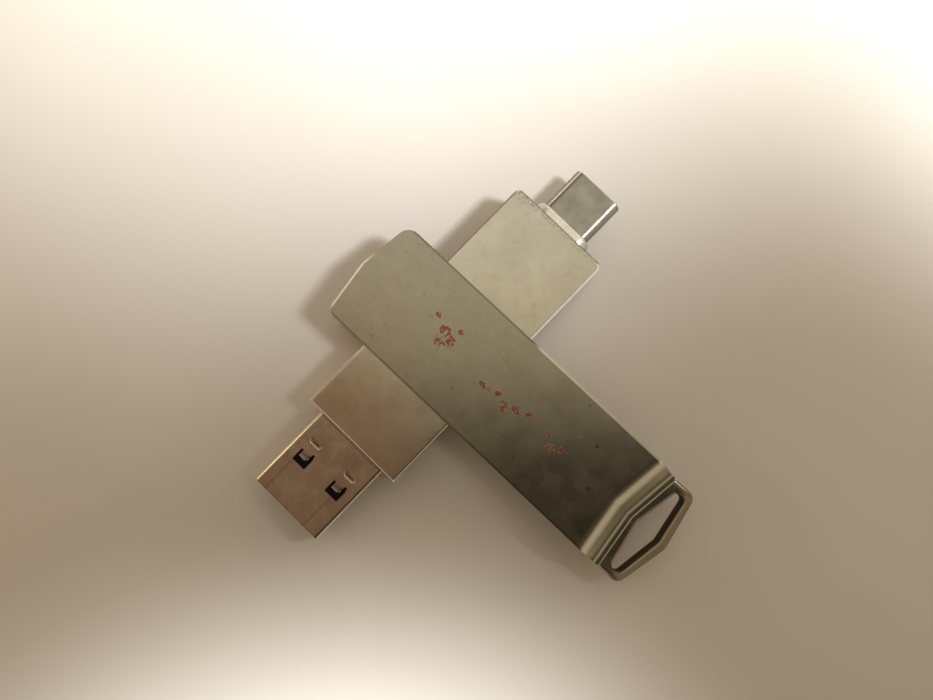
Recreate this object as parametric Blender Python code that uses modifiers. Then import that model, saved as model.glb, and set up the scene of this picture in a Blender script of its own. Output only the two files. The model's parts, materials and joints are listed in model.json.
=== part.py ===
"""Metal swivel flash drive with a USB-A plug, a USB-C plug and a turning two-plate cover.

Metres, +Z up. The origin is on the swivel axis, at the underside of the cover.
The cover lies along X with its keyring loop at +X. The drive turns about Z between the cover's plates.
"""

import math

import bmesh
import bpy
from mathutils import Matrix

MM = 0.001
FIT = 0.05 * MM                 # gap between two pieces that touch on the real object
OVER = 2.0 * MM                 # how far a cutter reaches past the face it cuts

# Whole object
COVER_HEIGHT = 9.4 * MM
MID_Z = COVER_HEIGHT / 2
DRIVE_ANGLE = math.radians(89.2)   # how far the drive is turned out of the cover

# Cover, along X from the swivel axis
COVER_WIDTH = 16.3 * MM
PLATE_THICKNESS = 1.05 * MM
OPEN_END_X = -16.05 * MM        # at the middle of the blunt open end
OPEN_END_RISE = 1.1 * MM        # how much shorter the open end is at its corners
SLOPE_X = 31.25 * MM            # where the plates start to slope in, at the middle
SLOPE_LENGTH = 3.5 * MM
CHEVRON = math.radians(7.1)     # slant of the slope's edges away from the middle
LOOP_THICKNESS = 3.2 * MM
LOOP_TIP_X = 41.6 * MM
LOOP_TIP_RISE = 1.68 * MM
CAVITY_END_X = 33.0 * MM
CAVITY_CEILING = 7.3 * MM       # height of the cavity at its closed end
CAVITY_STEP = 0.4 * MM          # how far past the slope's start the ceiling stays level
SLOPE_FOOT = 1.5 * MM           # radius where the slope meets the loop
HOLE_X = (36.15 * MM, 40.3 * MM)        # keyring hole at the middle
HOLE_END_X = (37.5 * MM, 39.15 * MM)    # and at its two ends
HOLE_HALF_LENGTH = 7.0 * MM
COVER_CORNER = 1.4 * MM
COVER_EDGE = 0.2 * MM

# Pivot between the cover and the drive
STUD_HEAD_RADIUS = 2.2 * MM
STUD_PIN_RADIUS = 1.4 * MM
STUD_HEAD_DEPTH = 0.45 * MM
STUD_HEAD_PROUD = 0.04 * MM     # how far a head stands out of its seat
WASHER_RADIUS = 3.2 * MM
PIN_CLEARANCE = 0.1 * MM

# Sleeve of the drive, along the drive's own X, with USB-C at +X
SLEEVE_X = (-18.87 * MM, 22.9 * MM)
SLEEVE_WIDTH = 16.3 * MM
SLEEVE_HEIGHT = 6.6 * MM
SLEEVE_WALL = 0.6 * MM
SLEEVE_END_WALL = 0.9 * MM
SLEEVE_CORNER = 1.2 * MM
SLEEVE_EDGE = 0.35 * MM
BEZEL_INSET = 0.5 * MM          # how far the plastic frame sits inside the open end
BEZEL_CORNER = 0.3 * MM

# USB-A plug
A_TIP_X = -31.95 * MM
A_REAR_X = -14.6 * MM
A_WIDTH = 12.0 * MM
A_HEIGHT = 4.5 * MM
A_WALL = 0.3 * MM
A_CORNER = 0.4 * MM
A_BLOCK_X = (A_TIP_X + 0.5 * MM, A_REAR_X - 0.3 * MM)
A_WINDOW_X = A_TIP_X + 5.55 * MM
A_WINDOW = (1.95 * MM, 2.3 * MM)
A_WINDOW_Y = 3.15 * MM
A_BLOCK_Z = 4.4 * MM            # underside of the plastic block inside the plug
A_CONTACT_THICKNESS = 0.15 * MM
A_CONTACT_WIDTH = 1.0 * MM
A_CONTACT_TAIL = 1.2 * MM       # how far a contact reaches over the board
A_LONG_SETBACK = 1.2 * MM       # power contacts, from the plug's tip
A_SHORT_SETBACK = 2.2 * MM      # data contacts, from the plug's tip
A_POWER_CONTACTS = (1, 4)
A_CONTACTS = {1: 3.5 * MM, 2: 1.0 * MM, 3: -1.0 * MM, 4: -3.5 * MM}

# USB-C plug
C_TIP_X = 31.45 * MM
C_REAR_X = 15.2 * MM
C_WIDTH = 8.25 * MM
C_HEIGHT = 2.4 * MM
C_WALL = 0.28 * MM
C_SLOT = (6.9 * MM, 1.1 * MM)
C_CONTACTS = 12
C_PITCH = 0.5 * MM
C_CONTACT_WIDTH = 0.25 * MM
C_CONTACT_OFFSET = 0.44 * MM    # middle of a contact, above or below the plug's middle
C_CONTACT_THICKNESS = 0.12 * MM
C_CONTACT_SETBACK = 1.2 * MM
C_CONTACT_TAIL = 1.3 * MM       # how far a contact reaches over the board
C_STRIP_X = (23.9 * MM, 24.4 * MM)
C_HOUSING_X = (C_REAR_X - 0.2 * MM, C_TIP_X - 0.4 * MM)
LATCH_BODY_X = (C_REAR_X + 0.4 * MM, 23.6 * MM)
LATCH_ARMS_X = (23.0 * MM, C_TIP_X - 1.9 * MM)
LATCH_GAP_X = (23.8 * MM, C_TIP_X)
LATCH_HALF_WIDTH = 3.35 * MM
LATCH_GAP_HALF_WIDTH = 3.15 * MM
LATCH_THICKNESS = 0.2 * MM
COLLAR_WIDTH = 9.7 * MM
COLLAR_HEIGHT = 3.9 * MM
COLLAR_END_X = 24.45 * MM
COLLAR_EDGE = 0.3 * MM
COLLAR_TAIL_STEP = 0.5 * MM     # how much narrower the tail is than the flange
COLLAR_TAIL_REACH = 0.3 * MM    # how far the tail goes into the flange
MOUTH_STEP = 0.4 * MM           # how much narrower the sleeve's mouth is than the flange

# Board and carrier
BOARD_X = (-13.4 * MM, 14.8 * MM)
BOARD_WIDTH = 13.6 * MM
BOARD_THICKNESS = 0.6 * MM
BOARD_CORNER = 0.6 * MM
BOARD_TOP = MID_Z + BOARD_THICKNESS / 2
BOARD_BOTTOM = MID_Z - BOARD_THICKNESS / 2
CARRIER_X = (-16.25 * MM, 21.9 * MM)
CARRIER_WIDTH = 15.0 * MM
CARRIER_HEIGHT = 5.3 * MM
CARRIER_GAP = 0.3 * MM          # room behind the USB-A plug
POCKET_WIDTH = 12.8 * MM
POCKET_HEIGHT = 4.4 * MM
POCKET_X = (A_REAR_X - 0.3 * MM, BOARD_X[1] + 0.2 * MM)

# Pieces soldered on the board: middle x, middle y, length, width, height, side of the board
CHIPS = {
    "controller_chip": (-3.5, 0.0, 6.0, 6.0, 0.85, "top", "chip"),
    "flash_chip": (2.5, 0.0, 18.0, 12.0, 1.2, "bottom", "chip"),
    "crystal": (-9.6, 3.6, 3.2, 2.5, 0.8, "top", "nickel"),
    "voltage_regulator": (7.6, -3.4, 2.9, 1.6, 1.1, "top", "chip"),
}
CAPACITORS = ((1.9, 3.2), (1.9, -3.2), (4.6, 3.2), (4.6, -3.2), (10.6, -3.4), (-9.6, -2.6))
RESISTORS = ((8.2, 3.2), (10.8, 3.2), (-9.6, 0.8), (12.6, 0.0))
CAPACITOR_SIZE = (0.8, 1.6, 0.8)
RESISTOR_SIZE = (0.8, 1.6, 0.45)

# Material: colour, roughness, metallic
MATERIALS = {
    "cover_metal": ((0.36, 0.35, 0.31), 0.38, 1.0),
    "sleeve_metal": ((0.48, 0.44, 0.38), 0.32, 1.0),
    "plug_steel": ((0.55, 0.50, 0.44), 0.28, 1.0),
    "nickel": ((0.62, 0.60, 0.56), 0.25, 1.0),
    "contact_gold": ((0.75, 0.55, 0.22), 0.25, 1.0),
    "black_plastic": ((0.02, 0.02, 0.02), 0.5, 0.0),
    "carrier_plastic": ((0.10, 0.10, 0.11), 0.5, 0.0),
    "washer_plastic": ((0.80, 0.80, 0.76), 0.4, 0.0),
    "board_green": ((0.03, 0.16, 0.07), 0.45, 0.0),
    "chip": ((0.03, 0.03, 0.035), 0.6, 0.0),
    "ceramic": ((0.42, 0.30, 0.18), 0.5, 0.0),
    "resistor_black": ((0.05, 0.05, 0.05), 0.4, 0.0),
}


# ---------------------------------------------------------------- scene and helpers

def clear_scene():
    for obj in list(bpy.data.objects):
        bpy.data.objects.remove(obj, do_unlink=True)


def new_collection(name):
    collection = bpy.data.collections.new(name)
    bpy.context.scene.collection.children.link(collection)
    return collection


clear_scene()
PARTS = new_collection("usb_flash_drive")
CUTTERS = new_collection("cutters")


def material(name):
    """The named Principled material, made the first time it is asked for."""
    if name in bpy.data.materials:
        return bpy.data.materials[name]
    color, roughness, metallic = MATERIALS[name]
    result = bpy.data.materials.new(name)
    result.use_nodes = True
    shader = result.node_tree.nodes["Principled BSDF"]
    shader.inputs["Base Color"].default_value = (*color, 1.0)
    shader.inputs["Roughness"].default_value = roughness
    shader.inputs["Metallic"].default_value = metallic
    return result


def add_part(name, mesh, slot, parent=None):
    """A named piece of the object with its own material."""
    obj = bpy.data.objects.new(name, mesh)
    obj.parent = parent
    mesh.materials.clear()
    mesh.materials.append(material(slot))
    PARTS.objects.link(obj)
    return obj


def add_cutter(name, mesh, parent=None):
    """A helper solid that only cuts other solids."""
    obj = bpy.data.objects.new(name, mesh)
    obj.parent = parent
    obj.hide_render = True
    obj.display_type = "WIRE"
    CUTTERS.objects.link(obj)
    return obj


def combine(target, other, operation="DIFFERENCE"):
    modifier = target.modifiers.new(other.name, "BOOLEAN")
    modifier.operation = operation
    modifier.object = other


def bevel(obj, width, segments=1, angle=40.0):
    modifier = obj.modifiers.new("edges", "BEVEL")
    modifier.width = width
    modifier.segments = segments
    modifier.limit_method = "ANGLE"
    modifier.angle_limit = math.radians(angle)
    modifier.use_clamp_overlap = True


def rounded(corners, steps=6):
    """Outline through corners (u, v, radius), each one replaced by an arc of its radius."""
    outline = []
    count = len(corners)
    for index, (u, v, radius) in enumerate(corners):
        if radius == 0:
            outline.append((u, v))
            continue
        before = corners[index - 1]
        after = corners[(index + 1) % count]
        start = math.atan2(before[1] - v, before[0] - u)
        end = math.atan2(after[1] - v, after[0] - u)
        turn = (end - start + math.pi) % math.tau - math.pi
        middle = start + turn / 2
        reach = radius / math.sin(abs(turn) / 2)
        centre = (u + reach * math.cos(middle), v + reach * math.sin(middle))
        sweep = math.copysign(math.pi - abs(turn), turn)
        first = middle + math.pi + sweep / 2
        for step in range(steps + 1):
            angle = first - sweep * step / steps
            outline.append((centre[0] + radius * math.cos(angle), centre[1] + radius * math.sin(angle)))
    return outline


def rectangle(u_range, v_range, radius=0.0, steps=6):
    (u0, u1), (v0, v1) = u_range, v_range
    return rounded([(u0, v0, radius), (u1, v0, radius), (u1, v1, radius), (u0, v1, radius)], steps)


def slot_shape(width, height, steps=10):
    """A rectangle with round ends, around the middle of the drive's end."""
    radius = height / 2 - 1e-7
    return rectangle((-width / 2, width / 2), (MID_Z - height / 2, MID_Z + height / 2), radius, steps)


AXIS_TURN = {
    "Z": Matrix.Identity(4),
    "X": Matrix(((0, 0, 1, 0), (1, 0, 0, 0), (0, 1, 0, 0), (0, 0, 0, 1))),
    "Y": Matrix(((1, 0, 0, 0), (0, 0, -1, 0), (0, 1, 0, 0), (0, 0, 0, 1))),
}


def prism(outline, span, axis="Z"):
    """A mesh of the flat outline, extruded over span along the axis. It is shaped in millimetres,
    where Blender's merge distances are small beside the piece, and then scaled to metres."""
    low, high = span
    curve = bpy.data.curves.new("outline", "CURVE")
    curve.dimensions = "2D"
    curve.fill_mode = "BOTH"
    curve.extrude = (high - low) / 2 / MM
    spline = curve.splines.new("POLY")
    spline.points.add(len(outline) - 1)
    for point, (u, v) in zip(spline.points, outline):
        point.co = (u / MM, v / MM, 0.0, 1.0)
    spline.use_cyclic_u = True
    holder = bpy.data.objects.new("outline", curve)
    bpy.context.scene.collection.objects.link(holder)
    evaluated = holder.evaluated_get(bpy.context.evaluated_depsgraph_get())
    mesh = bpy.data.meshes.new_from_object(evaluated)
    bpy.data.objects.remove(holder)
    bpy.data.curves.remove(curve)
    bm = bmesh.new()
    bm.from_mesh(mesh)
    bmesh.ops.remove_doubles(bm, verts=bm.verts, dist=1e-3)
    bmesh.ops.dissolve_limit(bm, angle_limit=0.001, verts=bm.verts, edges=bm.edges)
    bmesh.ops.recalc_face_normals(bm, faces=bm.faces)
    middle = -(low + high) / 2 if axis == "Y" else (low + high) / 2
    to_metres = Matrix.Diagonal((MM, MM, MM, 1.0))
    bm.transform(AXIS_TURN[axis] @ Matrix.Translation((0, 0, middle)) @ to_metres)
    bm.to_mesh(mesh)
    bm.free()
    mesh.shade_smooth()
    mesh.set_sharp_from_angle(angle=math.radians(35))
    return mesh


def box(x_range, y_range, z_range):
    """A mesh of a plain block between the given limits."""
    bm = bmesh.new()
    bmesh.ops.create_cube(bm, size=1.0)
    ranges = (x_range, y_range, z_range)
    size = [high - low for low, high in ranges]
    centre = [(low + high) / 2 for low, high in ranges]
    bm.transform(Matrix.Translation(centre) @ Matrix.Diagonal((*size, 1.0)))
    mesh = bpy.data.meshes.new("block")
    bm.to_mesh(mesh)
    bm.free()
    return mesh


def turned(radius, z_range, segments=40):
    """A mesh of a cylinder standing on the swivel axis."""
    low, high = z_range
    bm = bmesh.new()
    bmesh.ops.create_cone(
        bm, cap_ends=True, segments=segments, radius1=radius, radius2=radius, depth=high - low
    )
    bm.transform(Matrix.Translation((0, 0, (low + high) / 2)))
    mesh = bpy.data.meshes.new("cylinder")
    bm.to_mesh(mesh)
    bm.free()
    mesh.shade_smooth()
    mesh.set_sharp_from_angle(angle=math.radians(35))
    return mesh


def mirrored_z(low, high):
    """The same height range, mirrored about the middle of the object."""
    return (COVER_HEIGHT - high, COVER_HEIGHT - low)


def at_side(side, low, high):
    return (low, high) if side == "top" else mirrored_z(low, high)


# ---------------------------------------------------------------- cover

def cover_outline():
    """Plan of the cover: blunt pointed ends and rounded corners."""
    half = COVER_WIDTH / 2
    open_corner = OPEN_END_X + OPEN_END_RISE
    loop_corner = LOOP_TIP_X - LOOP_TIP_RISE
    return rounded([
        (OPEN_END_X, 0.0, 0.0),
        (open_corner, -half, COVER_CORNER),
        (loop_corner, -half, COVER_CORNER),
        (LOOP_TIP_X, 0.0, 0.0),
        (loop_corner, half, COVER_CORNER),
        (open_corner, half, COVER_CORNER),
    ])


def slope_cutter(side):
    """What is removed over the slope and the thinner loop, with its edges slanted both ways."""
    plateau = MID_Z + LOOP_THICKNESS / 2
    lead = OVER * SLOPE_LENGTH / (COVER_HEIGHT - plateau)
    profile = rounded([
        (SLOPE_X - lead, COVER_HEIGHT + OVER, 0.0),
        (SLOPE_X + SLOPE_LENGTH, plateau, SLOPE_FOOT),
        (LOOP_TIP_X + OVER, plateau, 0.0),
        (LOOP_TIP_X + OVER, COVER_HEIGHT + OVER, 0.0),
    ], steps=4)
    if side == "bottom":
        profile = [(x, COVER_HEIGHT - z) for x, z in reversed(profile)]
    mesh = prism(profile, (-COVER_WIDTH, COVER_WIDTH), "Y")
    bm = bmesh.new()
    bm.from_mesh(mesh)
    everything = bm.verts[:] + bm.edges[:] + bm.faces[:]
    bmesh.ops.bisect_plane(bm, geom=everything, plane_co=(0, 0, 0), plane_no=(0, 1, 0))
    for vertex in bm.verts:
        vertex.co.x += abs(vertex.co.y) * math.tan(CHEVRON)
    bm.to_mesh(mesh)
    bm.free()
    return add_cutter(f"slope_{side}", mesh)


def cavity_cutter():
    """The space between the plates, lower at its closed end."""
    top = COVER_HEIGHT - PLATE_THICKNESS
    step = SLOPE_X + CAVITY_STEP
    upper = [(OPEN_END_X - OVER, top), (step, top), (CAVITY_END_X, CAVITY_CEILING)]
    lower = [(x, COVER_HEIGHT - z) for x, z in reversed(upper)]
    return add_cutter("cavity", prism(upper + lower, (-COVER_WIDTH, COVER_WIDTH), "Y"))


def hole_cutter():
    """The long hexagonal keyring hole with round ends."""
    half = HOLE_HALF_LENGTH
    end = (HOLE_END_X[1] - HOLE_END_X[0]) / 2 * 0.9
    outline = rounded([
        (HOLE_X[0], 0.0, 0.0),
        (HOLE_END_X[0], -half, end),
        (HOLE_END_X[1], -half, end),
        (HOLE_X[1], 0.0, 0.0),
        (HOLE_END_X[1], half, end),
        (HOLE_END_X[0], half, end),
    ], steps=4)
    return add_cutter("keyring_hole", prism(outline, (-OVER, COVER_HEIGHT + OVER)))


def stud_recess_cutter(side):
    """Shallow round seat in the inner face of a plate."""
    inner = COVER_HEIGHT - PLATE_THICKNESS
    z_range = at_side(side, inner - OVER / 4, inner + STUD_HEAD_DEPTH)
    return add_cutter(f"stud_recess_{side}", turned(STUD_HEAD_RADIUS + FIT, z_range))


def build_cover():
    cover = add_part("swivel_cover", prism(cover_outline(), (0.0, COVER_HEIGHT)), "cover_metal")
    for side in ("top", "bottom"):
        combine(cover, slope_cutter(side))
    combine(cover, cavity_cutter())
    combine(cover, hole_cutter())
    bevel(cover, COVER_EDGE, segments=2)
    for side in ("top", "bottom"):
        combine(cover, stud_recess_cutter(side))
    return cover


def build_pivot(side):
    """A headed stud fixed inside a plate, and the plastic washer around its pin."""
    inner = COVER_HEIGHT - PLATE_THICKNESS
    sleeve_face = MID_Z + SLEEVE_HEIGHT / 2
    head = at_side(side, inner - STUD_HEAD_PROUD, inner + STUD_HEAD_DEPTH - FIT)
    pin = at_side(side, sleeve_face - SLEEVE_WALL + FIT, inner)
    stud = add_part(f"pivot_stud_{side}", turned(STUD_HEAD_RADIUS, head), "nickel")
    combine(stud, add_cutter(f"stud_pin_{side}", turned(STUD_PIN_RADIUS, pin)), "UNION")
    washer_span = at_side(side, sleeve_face + FIT, inner - 2 * FIT)
    washer = add_part(f"friction_washer_{side}", turned(WASHER_RADIUS, washer_span), "washer_plastic")
    low, high = washer_span
    hole = turned(STUD_PIN_RADIUS + PIN_CLEARANCE, (low - OVER, high + OVER))
    combine(washer, add_cutter(f"washer_hole_{side}", hole))


# ---------------------------------------------------------------- drive

def build_sleeve(drive):
    """Flat metal tube, open at the USB-A end and closed round the USB-C plug."""
    half = SLEEVE_WIDTH / 2
    start, end = SLEEVE_X
    outline = rounded([
        (start, -half, 0.0),
        (end, -half, SLEEVE_CORNER),
        (end, half, SLEEVE_CORNER),
        (start, half, 0.0),
    ])
    z_range = (MID_Z - SLEEVE_HEIGHT / 2, MID_Z + SLEEVE_HEIGHT / 2)
    sleeve = add_part("body_sleeve", prism(outline, z_range), "sleeve_metal", drive)
    bevel(sleeve, SLEEVE_EDGE, segments=3)
    inside = box(
        (start - OVER, end - SLEEVE_END_WALL),
        (-half + SLEEVE_WALL, half - SLEEVE_WALL),
        (z_range[0] + SLEEVE_WALL, z_range[1] - SLEEVE_WALL),
    )
    combine(sleeve, add_cutter("sleeve_inside", inside, drive))
    mouth = slot_shape(COLLAR_WIDTH - MOUTH_STEP, COLLAR_HEIGHT - MOUTH_STEP)
    combine(sleeve, add_cutter("sleeve_mouth", prism(mouth, (end - OVER, end + OVER), "X"), drive))
    pin_hole = turned(STUD_PIN_RADIUS + PIN_CLEARANCE, (-OVER, COVER_HEIGHT + OVER))
    combine(sleeve, add_cutter("sleeve_pin_hole", pin_hole, drive))


def build_collar(drive):
    """Ring around the USB-C plug: a wide flange outside, a tail through the sleeve's end."""
    end = SLEEVE_X[1]
    flange = prism(slot_shape(COLLAR_WIDTH, COLLAR_HEIGHT), (end + FIT, COLLAR_END_X), "X")
    collar = add_part("usb_c_collar", flange, "plug_steel", drive)
    bevel(collar, COLLAR_EDGE, segments=2)
    tail_shape = slot_shape(COLLAR_WIDTH - COLLAR_TAIL_STEP, COLLAR_HEIGHT - COLLAR_TAIL_STEP)
    tail = prism(tail_shape, (CARRIER_X[1] + FIT, end + COLLAR_TAIL_REACH), "X")
    combine(collar, add_cutter("collar_tail", tail, drive), "UNION")
    bore_shape = slot_shape(C_WIDTH + 2 * FIT, C_HEIGHT + 2 * FIT)
    bore = prism(bore_shape, (end - OVER, COLLAR_END_X + OVER), "X")
    combine(collar, add_cutter("collar_bore", bore, drive))


def build_bezel(drive):
    """Plastic frame that closes the sleeve around the USB-A plug."""
    start, end = SLEEVE_X[0] + BEZEL_INSET, CARRIER_X[0] - FIT
    half = CARRIER_WIDTH / 2
    z_range = (MID_Z - CARRIER_HEIGHT / 2, MID_Z + CARRIER_HEIGHT / 2)
    outer = rectangle((-half, half), z_range, BEZEL_CORNER, 3)
    bezel = add_part("usb_a_bezel", prism(outer, (start, end), "X"), "black_plastic", drive)
    bore = prism(a_shape(FIT), (start - OVER, end + OVER), "X")
    combine(bezel, add_cutter("bezel_bore", bore, drive))


def a_shape(grow):
    """Cross-section of the USB-A plug's outside, grown on every side."""
    half = A_WIDTH / 2 + grow
    tall = A_HEIGHT / 2 + grow
    return rectangle((-half, half), (MID_Z - tall, MID_Z + tall), A_CORNER + grow, 3)


def build_usb_a(drive):
    """Folded steel shell with four latch windows, plastic block and four contacts."""
    outside = prism(a_shape(0.0), (A_TIP_X, A_REAR_X), "X")
    shell = add_part("usb_a_shell", outside, "plug_steel", drive)
    inner = prism(a_shape(-A_WALL), (A_TIP_X - OVER, A_REAR_X + OVER), "X")
    combine(shell, add_cutter("usb_a_inside", inner, drive))
    length, width = A_WINDOW
    for side, y in (("left", A_WINDOW_Y), ("right", -A_WINDOW_Y)):
        y_range = (y - width / 2, y + width / 2)
        window = box((A_WINDOW_X, A_WINDOW_X + length), y_range, (-OVER, COVER_HEIGHT + OVER))
        combine(shell, add_cutter(f"usb_a_window_{side}", window, drive))
    block_half = A_WIDTH / 2 - A_WALL - 2 * FIT
    block_top = MID_Z + A_HEIGHT / 2 - A_WALL - FIT
    block = box(A_BLOCK_X, (-block_half, block_half), (A_BLOCK_Z, block_top))
    add_part("usb_a_insulator", block, "black_plastic", drive)
    top = A_BLOCK_Z - FIT
    for number, y in A_CONTACTS.items():
        setback = A_LONG_SETBACK if number in A_POWER_CONTACTS else A_SHORT_SETBACK
        x_range = (A_TIP_X + setback, BOARD_X[0] + A_CONTACT_TAIL)
        y_range = (y - A_CONTACT_WIDTH / 2, y + A_CONTACT_WIDTH / 2)
        strip = box(x_range, y_range, (top - A_CONTACT_THICKNESS, top))
        add_part(f"usb_a_contact_{number}", strip, "contact_gold", drive)


def build_usb_c(drive):
    """Seamless oval shell, slotted plastic housing, two contact rows and the latch plate."""
    outside = prism(slot_shape(C_WIDTH, C_HEIGHT), (C_REAR_X, C_TIP_X), "X")
    shell = add_part("usb_c_shell", outside, "plug_steel", drive)
    inner_width = C_WIDTH - 2 * C_WALL
    inner_height = C_HEIGHT - 2 * C_WALL
    inner = prism(slot_shape(inner_width, inner_height), (C_REAR_X - OVER, C_TIP_X + OVER), "X")
    combine(shell, add_cutter("usb_c_inside", inner, drive))
    core = prism(slot_shape(inner_width - 2 * FIT, inner_height - 2 * FIT), C_HOUSING_X, "X")
    housing = add_part("usb_c_insulator", core, "black_plastic", drive)
    slot_width, slot_height = C_SLOT
    slot_z = (MID_Z - slot_height / 2, MID_Z + slot_height / 2)
    slot = box((C_REAR_X - OVER, C_TIP_X + OVER), (-slot_width / 2, slot_width / 2), slot_z)
    combine(housing, add_cutter("usb_c_slot", slot, drive))
    for side, sign in (("upper", 1), ("lower", -1)):
        build_contact_row(side, MID_Z + sign * C_CONTACT_OFFSET, drive)
    build_latch_plate(drive)


def build_latch_plate(drive):
    """Thin plate between the contact rows, with an arm along each side of the slot."""
    y_range = (-LATCH_HALF_WIDTH, LATCH_HALF_WIDTH)
    z_range = (MID_Z - LATCH_THICKNESS / 2, MID_Z + LATCH_THICKNESS / 2)
    plate = add_part("usb_c_latch_plate", box(LATCH_BODY_X, y_range, z_range), "nickel", drive)
    combine(plate, add_cutter("latch_arms", box(LATCH_ARMS_X, y_range, z_range), drive), "UNION")
    gap_y = (-LATCH_GAP_HALF_WIDTH, LATCH_GAP_HALF_WIDTH)
    gap = box(LATCH_GAP_X, gap_y, (MID_Z - OVER, MID_Z + OVER))
    combine(plate, add_cutter("latch_gap", gap, drive))


def build_contact_row(side, z, drive):
    """Twelve spring contacts held together by their cross strip."""
    z_range = (z - C_CONTACT_THICKNESS / 2, z + C_CONTACT_THICKNESS / 2)
    half_row = (C_CONTACTS - 1) / 2 * C_PITCH + C_CONTACT_WIDTH / 2
    strip = box(C_STRIP_X, (-half_row, half_row), z_range)
    row = add_part(f"usb_c_contact_row_{side}", strip, "contact_gold", drive)
    for index in range(C_CONTACTS):
        y = (index - (C_CONTACTS - 1) / 2) * C_PITCH
        x_range = (BOARD_X[1] - C_CONTACT_TAIL, C_TIP_X - C_CONTACT_SETBACK)
        y_range = (y - C_CONTACT_WIDTH / 2, y + C_CONTACT_WIDTH / 2)
        finger = box(x_range, y_range, z_range)
        combine(row, add_cutter(f"contact_{side}_{index + 1}", finger, drive), "UNION")


def build_board(drive):
    half = BOARD_WIDTH / 2
    outline = rectangle(BOARD_X, (-half, half), BOARD_CORNER, 3)
    board = prism(outline, (BOARD_BOTTOM, BOARD_TOP))
    add_part("circuit_board", board, "board_green", drive)
    for name, (x, y, length, width, height, side, slot) in CHIPS.items():
        add_component(name, x, y, (length, width, height), side, slot, drive)
    for number, (x, y) in enumerate(CAPACITORS, 1):
        add_component(f"capacitor_{number}", x, y, CAPACITOR_SIZE, "top", "ceramic", drive)
    for number, (x, y) in enumerate(RESISTORS, 1):
        add_component(f"resistor_{number}", x, y, RESISTOR_SIZE, "top", "resistor_black", drive)


def add_component(name, x, y, size, side, slot, drive):
    """A block soldered on one face of the board. Its size and place are in millimetres."""
    length, width, height = (value * MM for value in size)
    low = BOARD_TOP + FIT
    x_range = (x * MM - length / 2, x * MM + length / 2)
    y_range = (y * MM - width / 2, y * MM + width / 2)
    add_part(name, box(x_range, y_range, at_side(side, low, low + height)), slot, drive)


def build_carrier(side, drive):
    """Half of the plastic frame that holds both plugs and the board inside the sleeve."""
    half = CARRIER_WIDTH / 2
    top = MID_Z + CARRIER_HEIGHT / 2
    block = box(CARRIER_X, (-half, half), at_side(side, MID_Z + FIT / 2, top))
    carrier = add_part(f"carrier_{side}", block, "carrier_plastic", drive)
    plug_a = prism(a_shape(FIT), (CARRIER_X[0] - OVER, A_REAR_X + CARRIER_GAP), "X")
    combine(carrier, add_cutter(f"carrier_usb_a_{side}", plug_a, drive))
    c_shape = slot_shape(C_WIDTH + 2 * FIT, C_HEIGHT + 2 * FIT)
    plug_c = prism(c_shape, (BOARD_X[1] - OVER, CARRIER_X[1] + OVER), "X")
    combine(carrier, add_cutter(f"carrier_usb_c_{side}", plug_c, drive))
    pocket_half = POCKET_WIDTH / 2
    pocket_z = (MID_Z - POCKET_HEIGHT / 2, MID_Z + POCKET_HEIGHT / 2)
    pocket = box(POCKET_X, (-pocket_half, pocket_half), pocket_z)
    combine(carrier, add_cutter(f"carrier_pocket_{side}", pocket, drive))
    seat_half = BOARD_WIDTH / 2 + FIT
    seat_x = (BOARD_X[0] - FIT, BOARD_X[1] + FIT)
    seat = box(seat_x, (-seat_half, seat_half), (BOARD_BOTTOM - FIT, BOARD_TOP + FIT))
    combine(carrier, add_cutter(f"carrier_seat_{side}", seat, drive))


def build_drive():
    drive = bpy.data.objects.new("drive_pivot", None)
    drive.rotation_euler = (0.0, 0.0, DRIVE_ANGLE)
    PARTS.objects.link(drive)
    build_sleeve(drive)
    build_collar(drive)
    build_bezel(drive)
    build_usb_a(drive)
    build_usb_c(drive)
    build_board(drive)
    for side in ("top", "bottom"):
        build_carrier(side, drive)


build_cover()
for plate_side in ("top", "bottom"):
    build_pivot(plate_side)
build_drive()
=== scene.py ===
"""Looks of the metal swivel flash drive: detailed shells, worn metal, a pale floor and soft light."""

import json
import math

import bmesh
import bpy
from mathutils import Matrix, Vector


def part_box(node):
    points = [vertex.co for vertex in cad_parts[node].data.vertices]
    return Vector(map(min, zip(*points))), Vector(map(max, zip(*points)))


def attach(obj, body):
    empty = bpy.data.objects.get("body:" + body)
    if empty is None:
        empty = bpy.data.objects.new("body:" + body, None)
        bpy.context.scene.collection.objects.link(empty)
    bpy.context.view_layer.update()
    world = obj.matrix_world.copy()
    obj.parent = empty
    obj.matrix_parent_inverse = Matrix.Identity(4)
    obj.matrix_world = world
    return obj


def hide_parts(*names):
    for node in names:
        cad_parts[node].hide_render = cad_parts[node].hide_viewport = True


MM = 0.001

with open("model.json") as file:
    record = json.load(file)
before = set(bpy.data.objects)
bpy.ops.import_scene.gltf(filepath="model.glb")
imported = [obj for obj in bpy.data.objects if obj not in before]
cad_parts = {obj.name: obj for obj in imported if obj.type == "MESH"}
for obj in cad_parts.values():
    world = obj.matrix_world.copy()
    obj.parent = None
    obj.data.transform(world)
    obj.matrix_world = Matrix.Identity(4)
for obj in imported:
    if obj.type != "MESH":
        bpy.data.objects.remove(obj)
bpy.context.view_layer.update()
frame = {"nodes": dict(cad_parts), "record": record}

# ---------------------------------------------------------------- sizes, in millimetres

def node_box(node):
    low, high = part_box(node)
    return low / MM, high / MM


def mount(name):
    found = next(m for m in frame["record"]["mounts"] if m["name"] == name)
    return Vector(found["pos_m"]) / MM, Vector(found["axis"])


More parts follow.
